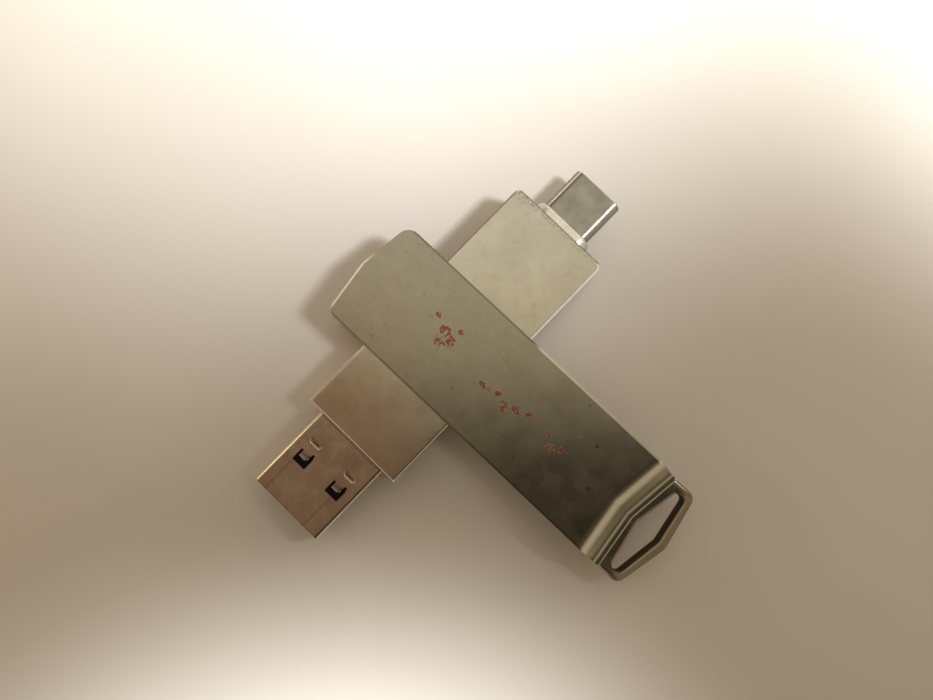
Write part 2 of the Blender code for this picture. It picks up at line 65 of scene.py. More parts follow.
COVER_LOW, COVER_HIGH = node_box("swivel_cover")
HEIGHT = COVER_HIGH.z
MID_Z = HEIGHT / 2
COVER_HALF = COVER_HIGH.y
PLATE = 1.05                    # thickness of each plate
OPEN_END_RISE = 1.1             # how much further the open end reaches at its middle
SLOPE_X = 31.85                 # bend where the plates start to slope in, at the middle line
SLOPE_FOOT_X = 34.45            # bend at the slope's foot
SLOPE_BEND, FOOT_BEND = 3.0, 1.2
HOLLOW_DEPTH = 0.16             # depth of the shallow hollow between slope and ring
RING_X = 35.2                   # where the flat face of the ring starts
CHEVRON = math.radians(7.1)     # how far the slope's edges slant back from the middle line
LOOP_THICKNESS = 3.2
LOOP_TIP_RISE = 1.68            # how much further the loop reaches at its middle
OPEN_MIDDLE_RADIUS, CORNER_RADIUS, TIP_RADIUS = 3.0, 1.4, 1.5
WORN_CORNER_RADIUS = 1.9        # the open end's corner at +Y
CAVITY_LEVEL_X = SLOPE_X + 0.4  # the cavity's ceiling is level up to here
CAVITY_END_X = 33.0
CAVITY_CEILING = 6.9            # height of the ceiling at the closed end
HOLE_X = (36.15, 40.3)          # keyring hole at the middle line
HOLE_END_X = (37.5, 39.15)      # and at both of its ends
HOLE_HALF_LENGTH = 7.0
HOLE_MIDDLE_RADIUS, HOLE_END_RADIUS = 1.0, 0.74
RING_ROUNDING, HOLE_ROUNDING = 0.6, 0.3
OUTER_ROUNDING, INNER_ROUNDING = 0.2, 0.15
SEAT_RADIUS, SEAT_DEPTH = 2.25, 0.45    # seat of a pivot stud in the inner face of its plate
ACROSS = (-COVER_HALF - 3.0, COVER_HALF + 3.0)      # y range of a cutter wider than the cover
TALLER = (-1.0, HEIGHT + 1.0)   # z range that takes in both faces
THROUGH = (-2.0, HEIGHT + 2.0)  # z range of a cutter that goes right through
OVER = 2.0                      # how far a cutter along the drive reaches past what it cuts

C_TIP, DRIVE_AXIS = mount("usb_c_tip")
A_TIP, _ = mount("usb_a_tip")
DRIVE_ANGLE = math.atan2(DRIVE_AXIS.y, DRIVE_AXIS.x)
C_TIP_X = C_TIP.dot(DRIVE_AXIS)
A_TIP_X = A_TIP.dot(DRIVE_AXIS)
SLEEVE_X = (-18.87, 22.9)
SLEEVE_HALF = 8.15
SLEEVE_TOP = node_box("body_sleeve")[1].z
SLEEVE_HEIGHT = 2 * (SLEEVE_TOP - MID_Z)
SLEEVE_WALL, SLEEVE_END_WALL = 0.6, 0.9
SLEEVE_CORNER = 1.0
SLEEVE_ROUNDING, SLEEVE_OPEN_ROUNDING = 0.36, 0.12
PIN_HOLE_RADIUS = 1.5
A_WIDTH, A_HEIGHT, A_WALL, A_CORNER = 12.0, 4.5, 0.3, 0.5
A_REAR_X = -14.6
A_LIP_ROUNDING = 0.1
WINDOW_X = (5.55, 7.5)          # latch windows, from the plug's tip
WINDOW_Y, WINDOW_HALF, WINDOW_CORNER = 3.15, 1.15, 0.12
NOTCH_X = (-0.3, 0.4)           # notch beside a tongue, from the window's rear edge
NOTCH_Y = (-1.0, -0.62)         # and from the window's middle
NOTCH_CORNER = 0.1
TONGUES = (
    # y range from the window's middle, length
    ((-0.3, 0.8), 1.05),
    ((-0.55, -0.42), 0.8),
)
TONGUE_FACE = (0.02, 0.02, 0.34)    # how deep its outer face lies at the root, the bend and the end
TONGUE_BACK = (0.24, 0.22, 0.5)     # and its inner face
DIMPLE_X, DIMPLE_Y = 9.25, 3.3      # pressed dimples, from the plug's tip and from the middle line
DIMPLE_HALF = (0.5, 1.05)
DIMPLE_DEPTH = 0.15
SLIT_X, SLIT_HALF, SLIT_CORNER = (-0.08, 0.06), 0.6, 0.05
SLIT_DEPTH = 0.4
SEAM_HALF, SEAM_DEPTH = 0.04, 0.2
C_WIDTH, C_HEIGHT, C_WALL = 8.25, 2.4, 0.28
C_REAR_X = 15.2
C_LIP_ROUNDING = 0.16
C_STEPS = 32
COLLAR_WIDTH, COLLAR_HEIGHT, COLLAR_END_X = 9.7, 3.9, 24.45
COLLAR_ROUNDING, COLLAR_REAR_ROUNDING = 0.7, 0.15
COLLAR_GAP = 0.05               # between the sleeve's end and the collar
COLLAR_PLAY = 0.1               # how much wider its hole is than the plug
NECK_LESS = 0.5                 # how much narrower its neck is, which stands in the sleeve's opening
NECK_X = (-0.95, 0.4)           # the neck, from the sleeve's end
OPENING_LESS = 0.4              # how much narrower the sleeve's opening is than the collar
SOFT_EDGE = 0.03


# ---------------------------------------------------------------- mesh helpers

TINY_RADIUS = 0.2
SAME_PLACE = 1e-4


def rounded(corners, most_steps=10):
    """Outline through corners (u, v, radius), each one replaced by an arc. A tiny arc gets two steps."""
    outline = []
    count = len(corners)
    for index, (u, v, radius) in enumerate(corners):
        if radius == 0:
            outline.append((u, v))
            continue
        steps = most_steps if radius > TINY_RADIUS else 2
        before = corners[index - 1]
        after = corners[(index + 1) % count]
        start = math.atan2(before[1] - v, before[0] - u)
        end = math.atan2(after[1] - v, after[0] - u)
        turn = (end - start + math.pi) % math.tau - math.pi
        middle = start + turn / 2
        reach = radius / math.sin(abs(turn) / 2)
        centre = (u + reach * math.cos(middle), v + reach * math.sin(middle))
        sweep = math.copysign(math.pi - abs(turn), turn)
        first = middle + math.pi + sweep / 2
        for step in range(steps + 1):
            angle = first - sweep * step / steps
            along, up = radius * math.cos(angle), radius * math.sin(angle)
            outline.append((centre[0] + along, centre[1] + up))
    return outline


def rectangle(u_range, v_range, radius=0.0, steps=8):
    (u0, u1), (v0, v1) = u_range, v_range
    corners = ((u0, v0), (u1, v0), (u1, v1), (u0, v1))
    return rounded([(u, v, radius) for u, v in corners], steps)


def stadium(width, height, steps=20):
    """A rectangle with round ends, centred at half the cover's height."""
    outline = []
    reach = (width - height) / 2
    for side in (1, -1):
        for step in range(steps + 1):
            angle = math.pi * step / steps - math.pi / 2
            u = side * (reach + height / 2 * math.cos(angle))
            outline.append((u, MID_Z + side * height / 2 * math.sin(angle)))
    return outline


def a_section(grow=0.0):
    """Section of the USB-A plug, grown on every side."""
    half = A_WIDTH / 2 + grow
    tall = A_HEIGHT / 2 + grow
    return rectangle((-half, half), (MID_Z - tall, MID_Z + tall), max(A_CORNER + grow, 0.1))


TURNS = {
    # turns a shape that stands on the plane z = 0 so that it is extruded along this axis
    "Z": Matrix.Identity(4),
    "X": Matrix(((0, 0, 1, 0), (1, 0, 0, 0), (0, 1, 0, 0), (0, 0, 0, 1))),
    "Y": Matrix(((1, 0, 0, 0), (0, 0, -1, 0), (0, 1, 0, 0), (0, 0, 0, 1))),
}


def solid(outline, span, axis="Z"):
    """An object, in millimetres, of the flat outline extruded over span along the axis."""
    low, high = span if axis != "Y" else (-span[1], -span[0])
    bm = bmesh.new()
    before = outline[-1:] + outline
    corners = [at for at, last in zip(outline, before) if math.dist(at, last) > SAME_PLACE]
    face = bm.faces.new([bm.verts.new((u, v, low)) for u, v in corners])
    grown = bmesh.ops.extrude_face_region(bm, geom=[face])["geom"]
    moved = [item for item in grown if isinstance(item, bmesh.types.BMVert)]
    bmesh.ops.translate(bm, verts=moved, vec=(0, 0, high - low))
    bm.transform(TURNS[axis])
    bmesh.ops.recalc_face_normals(bm, faces=bm.faces)
    if bm.calc_volume(signed=True) < 0:
        bmesh.ops.reverse_faces(bm, faces=bm.faces)
    return new_object("solid", bm)


def new_object(name, bm):
    mesh = bpy.data.meshes.new(name)
    bm.to_mesh(mesh)
    bm.free()
    obj = bpy.data.objects.new(name, mesh)
    bpy.context.scene.collection.objects.link(obj)
    return obj


def block(x_range, y_range, z_range):
    return solid(rectangle(x_range, y_range), z_range)


def cylinder(radius, z_range, steps=64):
    """A cylinder round the swivel axis."""
    turns = [math.tau * step / steps for step in range(steps)]
    return solid([(radius * math.cos(turn), radius * math.sin(turn)) for turn in turns], z_range)


def apply_modifiers(obj):
    graph = bpy.context.evaluated_depsgraph_get()
    mesh = bpy.data.meshes.new_from_object(obj.evaluated_get(graph))
    obj.modifiers.clear()
    obj.data = mesh
    return obj


def join(obj, other, operation="DIFFERENCE"):
    """Cuts other out of obj, or adds it, and removes other."""
    modifier = obj.modifiers.new("join", "BOOLEAN")
    modifier.operation = operation
    modifier.object = other
    apply_modifiers(obj)
    bpy.data.objects.remove(other)
    return obj


def round_edges(obj, width_at, segments=4, angle=30.0):
    """Rounds the sharp outer edges. width_at gives the width at an edge's middle, 0 to keep it sharp."""
    bm = bmesh.new()
    bm.from_mesh(obj.data)
    bmesh.ops.remove_doubles(bm, verts=bm.verts, dist=SAME_PLACE)
    bmesh.ops.dissolve_degenerate(bm, dist=SAME_PLACE, edges=bm.edges)
    bm.normal_update()
    weight = bm.edges.layers.float.new("bevel_weight_edge")
    limit = math.radians(angle)
    sharp = [edge for edge in bm.edges if edge.is_convex and edge.calc_face_angle(0.0) > limit]
    widths = [width_at((edge.verts[0].co + edge.verts[1].co) / 2) for edge in sharp]
    for edge, width in zip(sharp, widths):
        edge[weight] = width / max(widths)
    bm.to_mesh(obj.data)
    bm.free()
    modifier = obj.modifiers.new("round edges", "BEVEL")
    modifier.limit_method = "WEIGHT"
    modifier.width = max(widths)
    modifier.segments = segments
    modifier.use_clamp_overlap = False
    return apply_modifiers(obj)


SHARP_FROM = math.radians(38.0)     # a steeper edge is shaded as a crease
LARGE_FACES_WIN = 100


def finish_piece(obj, name, material, body, slot, *nodes, turned=False):
    """Scales the piece to metres, shades it and gives it its name, material and body."""
    obj.name = name
    obj.data.name = name
    obj.data.transform(Matrix.Diagonal((MM, MM, MM, 1.0)))
    obj.data.shade_smooth()
    obj.data.set_sharp_from_angle(angle=SHARP_FROM)
    weighted = obj.modifiers.new("flat faces stay flat", "WEIGHTED_NORMAL")
    weighted.keep_sharp = True
    weighted.weight = LARGE_FACES_WIN
    obj.data.materials.clear()
    obj.data.materials.append(material)
    if turned:
        obj.rotation_euler.z = DRIVE_ANGLE
    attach(obj, body)
    if nodes:
        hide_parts(*nodes)
    return obj


# ---------------------------------------------------------------- material helpers

class Nodes:
    """A node tree that is built by calls. A color is three numbers."""

    def __init__(self, tree):
        self.tree = tree

    def add(self, kind, values, **settings):
        node = self.tree.nodes.new(kind)
        for key, value in settings.items():
            setattr(node, key, value)
        for key, value in values.items():
            self.feed(node.inputs[key], value)
        return node

    def feed(self, socket, value):
        if isinstance(value, bpy.types.NodeSocket):
            self.tree.links.new(value, socket)
        else:
            socket.default_value = (*value, 1.0) if socket.type == "RGBA" else value

    def math(self, operation, a, b=0.0, clamp=False):
        return self.add("ShaderNodeMath", {0: a, 1: b}, operation=operation, use_clamp=clamp).outputs[0]

    def times(self, a, b, clamp=False):
        return self.math("MULTIPLY", a, b, clamp)

    def plus(self, a, b):
        return self.math("ADD", a, b)

    def minus(self, a, b, clamp=False):
        return self.math("SUBTRACT", a, b, clamp)

    def off(self, value, middle=0.0):
        """Distance of the value from the middle."""
        return self.math("ABSOLUTE", self.minus(value, middle) if middle else value)

    def map(self, value, low, high, to_low=0.0, to_high=1.0):
        """Smooth step of value from low to high."""
        values = {"Value": value, "From Min": low, "From Max": high, "To Min": to_low, "To Max": to_high}
        return self.add("ShaderNodeMapRange", values, interpolation_type="SMOOTHSTEP").outputs[0]

    def mix(self, amount, a, b):
        return self.add("ShaderNodeMix", {0: amount, 6: a, 7: b}, data_type="RGBA").outputs[2]


class Paint(Nodes):
    """One material's nodes. Sizes are in millimetres and places are in the object's own space."""

    def __init__(self, name):
        self.material = bpy.data.materials.new(name)
        self.material.use_nodes = True
        super().__init__(self.material.node_tree)
        self.shader = self.tree.nodes["Principled BSDF"]
        values = {0: self.tree.nodes.new("ShaderNodeTexCoord").outputs["Object"], 1: (1 / MM,) * 3}
        self.place = self.add("ShaderNodeVectorMath", values, operation="MULTIPLY").outputs[0]
        split = self.add("ShaderNodeSeparateXYZ", {0: self.place})
        self.x, self.y, self.z = split.outputs

    def noise(self, size, detail=3.0, seed=0.0, roughness=0.5, distortion=0.0, turn=0.0):
        """Noise whose blobs are about size across: one number, or one for each axis."""
        sizes = size if isinstance(size, tuple) else (size,) * 3
        scale = tuple(1.0 / value for value in sizes)
        values = {"Vector": self.place, "Rotation": (0, 0, math.radians(turn))}
        turned = self.add("ShaderNodeMapping", values).outputs[0]
        values = {"Vector": turned, "Location": (seed, seed * 0.7, seed * 1.3), "Scale": scale}
        scaled = self.add("ShaderNodeMapping", values)
        values = {"Vector": scaled.outputs[0], "Scale": 1.0, "Detail": detail,
                  "Roughness": roughness, "Distortion": distortion}
        return self.add("ShaderNodeTexNoise", values).outputs[0]

    def scratches(self, turn, length, width, amount, seed=0.0):
        """Thin marks along one direction: 1 in a mark, 0 outside it. They gather in patches."""
        streaks = self.noise((length, width, 1.0), 2.0, seed, 0.5, 0.15, turn)
        patches = self.noise(length * 0.8, 1.0, seed + 9.0)
        rarest = 0.82
        contrast = 14.0
        limit = self.map(patches, 0.35, 0.65, rarest, rarest - amount)
        return self.times(self.minus(streaks, limit, clamp=True), contrast, clamp=True)

    def band(self, value, low, high, soft):
        """1 where value lies between low and high, fading over soft on both sides."""
        rise = self.map(value, low - soft, low + soft)
        fall = self.map(value, high - soft, high + soft, 1.0, 0.0)
        return self.times(rise, fall)

    def tint(self, color, mask, amount, tone):
        """The color, moved by amount towards the tone where the mask is 1."""
        return self.mix(self.times(mask, amount), color, tone)

    def strongest(self, values):
        result = values[0]
        for value in values[1:]:
            result = self.math("MAXIMUM", result, value)
        return result

    def bump(self, height, depth):
        """Sends a height, times a depth in millimetres, to the shader's normal."""
        values = {"Height": height, "Distance": depth * MM, "Strength": 1.0}
        normal = self.add("ShaderNodeBump", values)
        self.tree.links.new(normal.outputs[0], self.shader.inputs["Normal"])

    def set(self, **values):
        names = {"color": "Base Color", "roughness": "Roughness", "metallic": "Metallic",
                 "specular": "Specular IOR Level"}
        for key, value in values.items():
            self.feed(self.shader.inputs[names[key]], value)
        return self.material


# ---------------------------------------------------------------- materials

RED_FLECKS = (
    # x, y, half length, half width of each patch of worn red paint on the cover
    (-3.4, 1.9, 0.5, 0.4), (-1.2, 0.9, 1.0, 0.8), (0.3, 0.2, 0.8, 1.1), (-1.0, -0.9, 0.9, 0.9),
    (0.5, 2.3, 0.5, 0.4), (7.9, -0.8, 1.1, 0.5), (9.9, -0.3, 0.7, 0.5), (11.6, -1.2, 0.8, 0.8),
    (13.3, -0.4, 0.9, 0.6), (15.0, 0.3, 0.5, 0.5), (18.7, 0.3, 0.6, 0.4), (20.1, -0.9, 0.8, 0.6),
    (21.4, -0.2, 0.4, 0.5),
)
SINGLE_SCRATCHES = (
    # start and end of each long scratch on the cover
    ((-1.6, 1.5), (3.3, 2.1)), ((5.2, 3.9), (9.4, 3.2)), ((12.6, -4.6), (17.4, -3.3)),
    ((-9.5, -3.2), (-6.1, -5.1)), ((22.0, 1.6), (25.8, 4.4)), ((-7.4, 5.0), (-3.0, 5.9)),
)
DIRT_SPECKS = (
    # x, y, radius of each dark speck on the cover
    (24.6, 3.6, 0.30), (27.6, -1.4, 0.42), (17.2, -5.3, 0.20), (4.9, -4.2, 0.16), (-6.8, 2.6, 0.14),
)


def sum_of_products(paint, a, b, c, d):
    """a times b, plus c times d."""
    return paint.plus(paint.times(a, b), paint.times(c, d))


def fleck_mask(paint):
    """Dry, cracked remains of paint inside a few soft patches."""
    ragged = paint.noise(0.42, 5.0, 3.0, 0.7)
    grow = 1.15
    patches = []
    for x, y, half_length, half_width in RED_FLECKS:
        across = paint.math("DIVIDE", paint.minus(paint.x, x), grow * half_length)
        along = paint.math("DIVIDE", paint.minus(paint.y, y), grow * half_width)
        squares = sum_of_products(paint, across, across, along, along)
        patches.append(paint.map(squares, 0.2, 1.6, 1.0, 0.0))
    patch = paint.strongest(patches)
    level = paint.plus(paint.times(patch, 0.34), ragged)
    return paint.map(level, 0.79, 0.83)


def single_marks(paint):
    """Masks of the long scratches and of the dirt specks."""
    scratches = []
    line_half = (0.015, 0.05)
    fade = 0.4
    wander = paint.times(paint.minus(paint.noise(1.5, 2.0, 71.0), 0.5), 0.25)
    for start, end in SINGLE_SCRATCHES:
        ahead = (Vector(end) - Vector(start)).normalized()
        length = (Vector(end) - Vector(start)).length
        x = paint.minus(paint.x, start[0])
        y = paint.minus(paint.y, start[1])
        along = sum_of_products(paint, x, ahead.x, y, ahead.y)
        across = paint.minus(paint.times(y, ahead.x), paint.times(x, ahead.y))
        line = paint.map(paint.off(paint.plus(across, wander)), *line_half, 1.0, 0.0)
        scratches.append(paint.times(line, paint.band(along, fade, length - fade, fade)))
    specks = []
    for x, y, radius in DIRT_SPECKS:
        x = paint.minus(paint.x, x)
        y = paint.minus(paint.y, y)
        away = paint.math("SQRT", sum_of_products(paint, x, x, y, y))
        away = paint.plus(away, paint.times(wander, 2.0))
        specks.append(paint.map(away, radius * 0.4, radius, 1.0, 0.0))
    return paint.strongest(scratches), paint.strongest(specks)


RIM_HIGHLIGHT_FROM_X = (8.5, 10.5)     # the rim at +Y gets a painted highlight from here to the loop
END_HIGHLIGHT_Y = (3.0, -0.5)      # and the open end's rim on this side


def rim_masks(paint):
    """Masks along the rims of the cover's two faces: where a highlight is painted, and where shade is
    painted.
    """
    across = paint.off(paint.y)
    lean = paint.times(across, OPEN_END_RISE / COVER_HALF)
    from_end = paint.minus(paint.minus(paint.x, COVER_LOW.x), lean)
    at_side = paint.map(across, COVER_HALF - 0.32, COVER_HALF - 0.22)
    at_end = paint.map(from_end, 0.34, 0.14)
    rim = paint.map(paint.off(paint.z, MID_Z), MID_Z - 0.32, MID_Z - 0.14)
    on_far_side = paint.math("GREATER_THAN", paint.y, 0.0)
    side_highlight = paint.times(on_far_side, paint.map(paint.x, *RIM_HIGHLIGHT_FROM_X))
    end_highlight = paint.times(at_end, paint.map(paint.y, *END_HIGHLIGHT_Y))
    bright = paint.math("MAXIMUM", paint.times(at_side, side_highlight), end_highlight)
    dark = paint.times(at_side, paint.minus(1.0, side_highlight))
    return paint.times(bright, rim), paint.times(dark, rim)


def past_middle(paint, x_range):
    """Smooth step along the cover over x_range, following the chevron."""
    back = paint.times(paint.off(paint.y), math.tan(CHEVRON))
    return paint.map(paint.minus(paint.x, back), *x_range)


def hole_leans(paint, across):
    """How far the hole's two long walls lean inwards at this distance from the middle line."""
    near = paint.times(across, (HOLE_END_X[0] - HOLE_X[0]) / HOLE_HALF_LENGTH)
    far = paint.times(across, (HOLE_X[1] - HOLE_END_X[1]) / HOLE_HALF_LENGTH)
    return near, far


def ring_lines(paint):
    """Masks round the ring: a painted highlight on its rim beside the hole, and painted shade along its
    outer edge.
    """
    across = paint.off(paint.y)
    near_lean, far_lean = hole_leans(paint, across)
    from_hole = paint.minus(paint.plus(near_lean, HOLE_X[0]), paint.x)
    past_hole = paint.minus(paint.plus(far_lean, paint.x), HOLE_X[1])
    near_rim = paint.band(from_hole, 0.06, 0.22, 0.08)
    far_rim = paint.band(past_hole, 0.08, 0.26, 0.10)
    beside = paint.map(across, HOLE_HALF_LENGTH - 0.1, HOLE_HALF_LENGTH - 0.8)
    rim = paint.times(paint.math("MAXIMUM", near_rim, far_rim), beside)
    lean = paint.times(across, LOOP_TIP_RISE / COVER_HALF)
    from_tip = paint.minus(paint.minus(COVER_HIGH.x, lean), paint.x)
    edge = paint.band(from_tip, 0.10, 0.30, 0.10)
    at_side = paint.map(across, COVER_HALF - 0.75, COVER_HALF - 0.35)
    sides = paint.times(at_side, past_middle(paint, (RING_X + 0.1, RING_X + 0.5)))
    return rim, paint.math("MAXIMUM", edge, sides)


def shaded_hole_walls(paint):
    """1 on the walls of the loop's hole, where shade is painted."""
    margin = 0.2
    across = paint.off(paint.y)
    near_lean, far_lean = hole_leans(paint, across)
    near = paint.plus(near_lean, HOLE_X[0] - margin)
    far = paint.minus(HOLE_X[1] + margin, far_lean)
    past_near = paint.math("GREATER_THAN", paint.x, near)
    inside = paint.times(past_near, paint.math("LESS_THAN", paint.x, far))
    inside = paint.times(inside, paint.math("LESS_THAN", across, HOLE_HALF_LENGTH + 0.1))
    half = LOOP_THICKNESS / 2
    walls = paint.map(paint.off(paint.z, MID_Z), half - 0.4, half - 0.22, 1.0, 0.0)
    return paint.times(inside, walls)


COVER_TONES = (0.46, 0.435, 0.37), (0.50, 0.475, 0.405)
OPEN_END_TONE = (0.50, 0.425, 0.325)
STAIN, SPECKLE = (0.33, 0.31, 0.26), (0.22, 0.19, 0.14)
BARE_SCRATCH, DARK_SCRATCH = (0.72, 0.69, 0.62), (0.26, 0.21, 0.15)
# dirt spots; painted shade for the walls of the hole
SPOT_DIRT, HOLE_WALL_SHADE = (0.12, 0.10, 0.07), (0.07, 0.05, 0.03)
RED_TONES = (0.17, 0.032, 0.016), (0.31, 0.072, 0.035)
# the hollow's dark tone is painted shade
SLOPE_TONE, HOLLOW_SHADE, RING_TONE = (0.50, 0.455, 0.35), (0.22, 0.185, 0.125), (0.53, 0.435, 0.30)
# painted highlight beside the hole and painted shade along the ring's outer edge
RING_RIM_HIGHLIGHT, RING_EDGE_SHADE = (0.62, 0.53, 0.37), (0.15, 0.11, 0.065)
# painted highlight and painted shade for the rims of the cover's faces
PAINTED_RIM_HIGHLIGHT, PAINTED_RIM_SHADE = (1.0, 0.94, 0.80), (0.19, 0.15, 0.10)


def cover_paint():
    """Satin grey metal, handled for years: smudges, fine scratches, dirt spots and chips of red paint,
    with painted highlights and shade on its rims, hollow, ring and hole.
    """
    paint = Paint("cover_metal")
    smudge = paint.noise(5.0, 4.0, 1.0, 0.6)
    mottle = paint.noise(1.3, 5.0, 5.0, 0.65)
    grain = paint.noise(0.12, 2.0, 7.0)
    hairlines = paint.strongest([
        paint.scratches(38.0, 3.5, 0.05, 0.12, 2.0),
        paint.scratches(-24.0, 2.5, 0.045, 0.11, 6.0),
        paint.scratches(82.0, 1.8, 0.05, 0.10, 11.0),
    ])
    long_scratches, specks = single_marks(paint)
    spots = paint.map(paint.noise(0.9, 5.0, 21.0, 0.7), 0.63, 0.72)
    dirt = paint.math("MAXIMUM", spots, specks)
    color = paint.mix(paint.map(smudge, 0.3, 0.7), *COVER_TONES)
    color = paint.mix(paint.map(paint.x, 4.0, -14.0, 0.0, 0.4), color, OPEN_END_TONE)
    specky = paint.map(paint.noise(0.35, 4.0, 29.0, 0.7), 0.52, 0.75)
    color = paint.tint(color, paint.map(mottle, 0.4, 0.7), 0.2, STAIN)
    color = paint.tint(color, specky, 0.25, SPECKLE)
    color = paint.tint(color, hairlines, 0.35, BARE_SCRATCH)
    color = paint.tint(color, long_scratches, 0.5, DARK_SCRATCH)
    color = paint.tint(color, dirt, 0.55, SPOT_DIRT)
    on_top = paint.map(paint.z, HEIGHT - 0.2, HEIGHT - 0.1)
    chips = paint.times(fleck_mask(paint), on_top)
    red = paint.mix(grain, *RED_TONES)
    color = paint.mix(chips, color, red)
    slope_start = past_middle(paint, (SLOPE_X - 1.1, SLOPE_X + 0.3))
    slope_end = past_middle(paint, (SLOPE_FOOT_X - 1.6, SLOPE_FOOT_X - 0.4))
    on_slope = paint.minus(slope_start, slope_end, clamp=True)
    hollow_start = past_middle(paint, (SLOPE_FOOT_X - 1.3, SLOPE_FOOT_X - 0.3))
    hollow_end = past_middle(paint, (RING_X - 0.2, RING_X - 0.1))
    in_hollow = paint.minus(hollow_start, hollow_end, clamp=True)
    on_ring = past_middle(paint, (HOLE_X[0] + 0.6, HOLE_X[0] + 2.2))
    color = paint.tint(color, on_slope, 0.75, SLOPE_TONE)
    # painted shade in the hollow between the slope and the ring
    color = paint.tint(color, in_hollow, 0.7, HOLLOW_SHADE)
    color = paint.tint(color, on_ring, 0.8, RING_TONE)
    # painted highlight on the rim beside the hole, painted shade along the ring's outer edge
    ring_highlight, ring_shade = ring_lines(paint)
    color = paint.tint(color, ring_highlight, 0.9, RING_RIM_HIGHLIGHT)
    color = paint.tint(color, ring_shade, 0.75, RING_EDGE_SHADE)
    # painted highlight and painted shade along the rims
    bright, dark = rim_masks(paint)
    color = paint.tint(color, bright, 0.95, PAINTED_RIM_HIGHLIGHT)
    color = paint.tint(color, dark, 0.6, PAINTED_RIM_SHADE)
    # painted shade on the walls of the loop's hole
    darkening = shaded_hole_walls(paint)
    color = paint.tint(color, darkening, 0.9, HOLE_WALL_SHADE)
    roughness = paint.plus(paint.map(smudge, 0.3, 0.7, 0.12, 0.15), paint.times(mottle, 0.04))
    for mask, more in ((darkening, 0.3), (on_slope, 0.24), (in_hollow, 0.12), (on_ring, 0.24)):
        roughness = paint.plus(roughness, paint.times(mask, more))
    roughness = paint.mix(chips, roughness, (0.55, 0.55, 0.55))
    dust = paint.map(paint.noise(2.4, 6.0, 33.0, 0.7), 0.35, 0.7, 0.0, 0.09)
    # the painted highlights are also made less metallic, so that they look lighter
    highlight_rims = [paint.times(bright, 0.5), paint.times(ring_highlight, 0.7)]
    metallic = paint.minus(1.0, paint.strongest([chips, dust, *highlight_rims]))
    height = paint.plus(paint.times(grain, 0.5), paint.times(mottle, 0.8))
    height = paint.minus(height, paint.times(hairlines, 0.6))
    height = paint.plus(height, paint.times(chips, 1.5))
    paint.bump(height, 0.0025)
    return paint.set(color=color, roughness=roughness, metallic=metallic)


# painted shade and painted highlight for the rounded edges of the sleeve and the plugs
EDGE_SHADE = (0.16, 0.125, 0.085)
EDGE_HIGHLIGHT = (1.0, 0.88, 0.64)
SLEEVE_TONES = (0.70, 0.655, 0.575), (0.78, 0.735, 0.65)
SLEEVE_STAIN, SLEEVE_SCRATCH = (0.42, 0.37, 0.29), (0.83, 0.80, 0.73)
SLEEVE_A_SHADE, SLEEVE_GRIME = (0.58, 0.50, 0.39), (0.16, 0.125, 0.09)
# Painted light and shade on the sleeve's rounded edges: dark lines stand in for shade and dark
# reflections, light lines are painted highlights.
SLEEVE_EDGE_SHADING = (
    # axis, start of the line, where it is full, side (1: USB-C end, -1: USB-A end, 0: both), tone, amount
    ("y", SLEEVE_HALF - 0.34, SLEEVE_HALF - 0.22, 1, EDGE_SHADE, 0.8),
    ("y", SLEEVE_HALF - 0.34, SLEEVE_HALF - 0.22, -1, EDGE_HIGHLIGHT, 0.9),
    ("y", 0.30 - SLEEVE_HALF, 0.22 - SLEEVE_HALF, -1, (0.30, 0.25, 0.19), 0.7),
    ("y", 0.36 - SLEEVE_HALF, 0.26 - SLEEVE_HALF, 1, (1.0, 0.98, 0.94), 0.9),
    ("x", SLEEVE_X[1] - 0.34, SLEEVE_X[1] - 0.22, 0, EDGE_SHADE, 0.88),
    ("x", SLEEVE_X[0] + 0.24, SLEEVE_X[0] + 0.12, 0, (1.0, 0.92, 0.86), 0.9),
)


